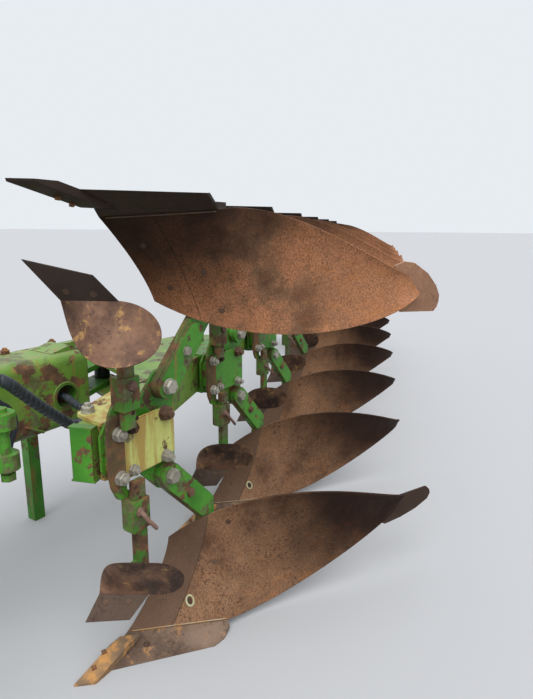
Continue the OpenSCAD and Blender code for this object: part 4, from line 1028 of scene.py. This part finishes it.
def makeFlushHeads():
    # flush heads in boards, shares and skimmers, and a pale ring low on each lower board
    values = boardBolts
    heads, gaps = [], []
    for shape, upper in boardPair:
        for spot in values["boardSpots"]:
            head, gap = flushBolt(*boardSpot(shape, *spot), values["boardRadius"])
            heads.append(onSide(head, upper))
            gaps.append(onSide(gap, upper))
    for name in ("share", "skimmer"):
        spots, axis, forward = values[name]
        for spot in spots:
            head, gap = flushBolt(np.array(spot) / 1000, axis, values["flatRadius"])
            heads += [head, mirroredUp(moved(head, [forward, 0, 0]))]
            gaps += [gap, mirroredUp(moved(gap, [forward, 0, 0]))]
    wide, long, thick = values["ringSize"]
    angle = np.linspace(0, 2 * math.pi, 33)
    loop = np.stack([wide * np.cos(angle), long * np.sin(angle), 0 * angle], axis=1)
    spot = boardSpot(board, *values["ringSpot"])
    gaps.append(aimed(turned([(0.013, -0.002), (0.013, 0.0008)], 20), *spot))
    makePiece("flushHeads", "boardHead", atLegs(heads))
    makePiece("headGaps", "darkRust", atLegs(gaps))
    makePiece("paleRings", "ringSteel", atLegs([aimed(swept(loop, thick, 8, up), *spot, 0.3)]))


def makeWornLines():
    # a fine worn line near each board's lower edge, and square bolts in the bar points
    values = boardBolts
    lines = []
    for shape, upper in boardPair:
        edge = boardSurface(shape, np.linspace(values["lineFrom"], values["lineTo"], 30), np.full(30, 0.012))
        lines.append(onSide(weldBead(edge + 0.001, values["lineThick"]), upper))
    spots, axis = values["point"]
    half = values["pointHalf"]
    square = turned([(half, -0.002), (half, 0.005), (half - 0.002, 0.007)], 4)
    squares = [aimed(square, np.array(spot) / 1000, axis, 0.4) for spot in spots]
    makePiece("wornLines", "wornLine", atLegs(lines))
    makePiece("pointBolts", "freshRust", atLegs(squares + [mirroredUp(bolt) for bolt in squares]))


makeFlushHeads()
makeWornLines()
print("board bolts made")

# Skimmer holders, in millimetres with heights over the beam's middle
holder = {
    "holes": ((-10, 169), (-17, 147), (-32, 125), (-12, -111), (-20, -136), (-28, -157)),
    "stalkFace": 49.9,
    "holeRadius": 0.0075,
    "upperPin": ((0.030, 0.012), (-8, 60, 242)),
    "lowerPin": ((0.028, 0.008), (-15, 60, -200)),
    "lever": ((-15, 60, -200), (-17, 76, -206), (-24, 86, -225), (-38, 96, -247), (-51, 102, -268)),
    "leverThick": ((0, 0.94, 1), (0.0085, 0.0070, 0.003)),      # places along it, and its radius there
}


def makeHolderDetails():
    # dark discs for the holes in the stalks, as painted shade, pins in their sockets and the bent lever of
    # the lower one
    # painted shade: each hole is a dark disc on the stalk's face, for its shaded inside
    hole = turned([(holder["holeRadius"], -0.002), (holder["holeRadius"], 0.0006)], 18)
    holes, rusty = [], []
    for x, z in holder["holes"]:
        holes += fitted([hole], (x, holder["stalkFace"], z), left)
    for size, spot in (holder["upperPin"], holder["lowerPin"]):
        rusty += fitted(hexBolt(*size), spot, left)
    line = smoothLine([legPlace(*spot) for spot in holder["lever"]], 0.004)[0]
    thick = np.interp(np.linspace(0, 1, len(line)), *holder["leverThick"])
    rusty.append(swept(line, thick[:, None], 14))
    makePiece("stalkHoleShade", "darkRust", atLegs(holes))
    makePiece("holderPins", "pinRust", atLegs(rusty))


# Fasteners of the beam clamps and the frame's straps, as those on the legs
beamFasteners = {
    "clampNuts": ("headRust", laterLegs, [row for x, y in ((-85, -222), (-235, -279)) for row in (
        (hexNut, (0.036, 0.018), (x, y, 102), up, 0.3), (hexBolt, (0.036, 0.014), (x, y, -102), down, 0.1))]),
    "frontClampNut": ("paleSteel", firstLeg, (
        (hexNut, (0.040, 0.020, 0.55), (-24, -183, 102), up, 0.2),
        (hexBolt, (0.044, 0.016), (-24, -183, -102), down, 0.0))),
    "strapNuts": ("freshRust", firstLeg, [
        (hexNut, (0.036, 0.018), (x, -1007, 157), up, 0.2 * k) for k, x in enumerate((-477, -231, 60, 300))]),
}

# Bearing flange and weld beads of the frame, in millimetres with heights over the beam's middle
frameThings = {
    "flange": (392, -667),          # its face and its middle
    "flangeRadius": 118,
    "flangeBolts": 8,
    "ring": (-335, -22, 63),        # middle and radius of the bead round the hose tube
    "bead": ((-122, -108), (-166, -131), (-209, -155)),
}


def makeFrameDetails():
    # the bearing's flange bolts, evenly round its circle, and weld beads on the frame's near side
    values = frameThings
    (front, middle), radius, count = values["flange"], values["flangeRadius"], values["flangeBolts"]
    heads = []
    for k in range(count):
        angle = (2 * k + 1) * math.pi / count
        spot = (front, middle + radius * math.cos(angle), radius * math.sin(angle))
        heads += fitted(hexBolt(0.026, 0.007), spot, ahead, 0.3 * k)
    makePiece("flangeBolts", "dullSteel", atLegs(heads, *firstLeg))
    face = plough["frameFace"] * 1000
    x, z, radius = values["ring"]
    angles = np.linspace(0, 2 * math.pi, 25)
    ring = [legPlace(x + radius * math.cos(a), face, z + radius * math.sin(a)) for a in angles]
    bead = [legPlace(x, face, z) for x, z in values["bead"]]
    makePiece("weldBeads", "frameGreen", atLegs([weldBead(ring, 0.005), weldBead(bead, 0.007)], *firstLeg))


makeHolderDetails()
makeFasteners(beamFasteners)
makeFrameDetails()
print("small things made")

# Depth wheel: centre in the first leg's layout in metres, sizes of its tyre and nuts
wheel = {
    "centre": (-5.093, -2.354, 0.520),
    "radius": 0.300,
    "bead": (0.205, 0.078),         # radius and half width where the tyre sits on its rim
    "halfWidth": 0.095,
    "corner": 0.055,
    "grooves": (-0.030, 0.0, 0.030),
    "grooveWidth": 0.0032,
    "grooveDepth": 0.008,
    "blocks": 46,
    "shoulder": (0.034, 0.030),     # the cuts start this far from the middle and end this far under the tread
    "nutCircle": 0.085,
    "nuts": 6,
    "web": 0.015,
    "capOut": 0.060,
}


def makeTyre():
    # the tyre's section turned round its axle, with three grooves round it and cuts across its shoulders
    half, corner = wheel["halfWidth"], wheel["corner"]
    reach = wheel["radius"] - corner
    beadRadius, beadHalf = wheel["bead"]
    near, far = np.radians(np.linspace(225, 360, 26)), np.radians(np.linspace(0, 135, 26))
    crown = np.linspace(-half + corner, half - corner, 42)[1:-1]
    r = np.concatenate([[beadRadius], reach + corner * np.cos(near), np.full(40, wheel["radius"]),
                        reach + corner * np.cos(far), [beadRadius]])
    y = np.concatenate([[-beadHalf], -half + corner + corner * np.sin(near), crown,
                        half - corner + corner * np.sin(far), [beadHalf]])
    turn = np.linspace(0, 2 * math.pi, 368, endpoint=False)[:, None]
    groove = sum(np.exp(-((y - g) / wheel["grooveWidth"]) ** 2) for g in wheel["grooves"])
    cuts = np.abs(((turn * wheel["blocks"] / (2 * math.pi) + 6 * np.abs(y)) % 1) - 0.5) < 0.10
    out, under = wheel["shoulder"]
    shoulder = (np.abs(y) > out) & (r > wheel["radius"] - under)
    depth = np.maximum(np.clip(groove, 0, 1), cuts * shoulder * 0.8) * wheel["grooveDepth"]
    radius = r - depth
    rings = np.stack([radius * np.cos(turn), y + 0 * radius, radius * np.sin(turn)], axis=-1)
    faces = gridFaces(*radius.shape, wrap=True, ring=True).tolist()
    tyre = moved((rings.reshape(-1, 3), faces), wheel["centre"])
    piece = makePiece("tyre", "tyreRubber", atLegs([tyre], *firstLeg), "wheel", 30.0)
    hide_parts("wheel_tyre")


def makeWheelNuts():
    # nuts evenly round both sides of the wheel's web, and a domed cap over its axle
    centre = np.array(wheel["centre"])
    nuts = []
    for side in (-1, 1):
        for k in range(wheel["nuts"]):
            angle = 2 * math.pi * k / wheel["nuts"]
            x, z = wheel["nutCircle"] * math.cos(angle), wheel["nutCircle"] * math.sin(angle)
            at = centre + [x, side * wheel["web"], z]
            nuts += [aimed(part, at, (0, side, 0), angle) for part in hexNut(0.026, 0.014)]
    cap = turned([(0.036, 0.0), (0.036, 0.012), (0.032, 0.020), (0.020, 0.026), (0.006, 0.028)], 28)
    cap = aimed(cap, centre - [0, wheel["capOut"], 0], (0, -1, 0))
    makePiece("wheelNuts", "dullSteel", atLegs(nuts, *firstLeg), "wheel")
    makePiece("wheelCap", "greenPaint", atLegs([cap], *firstLeg), "wheel")


makeTyre()
makeWheelNuts()
print("wheel made")
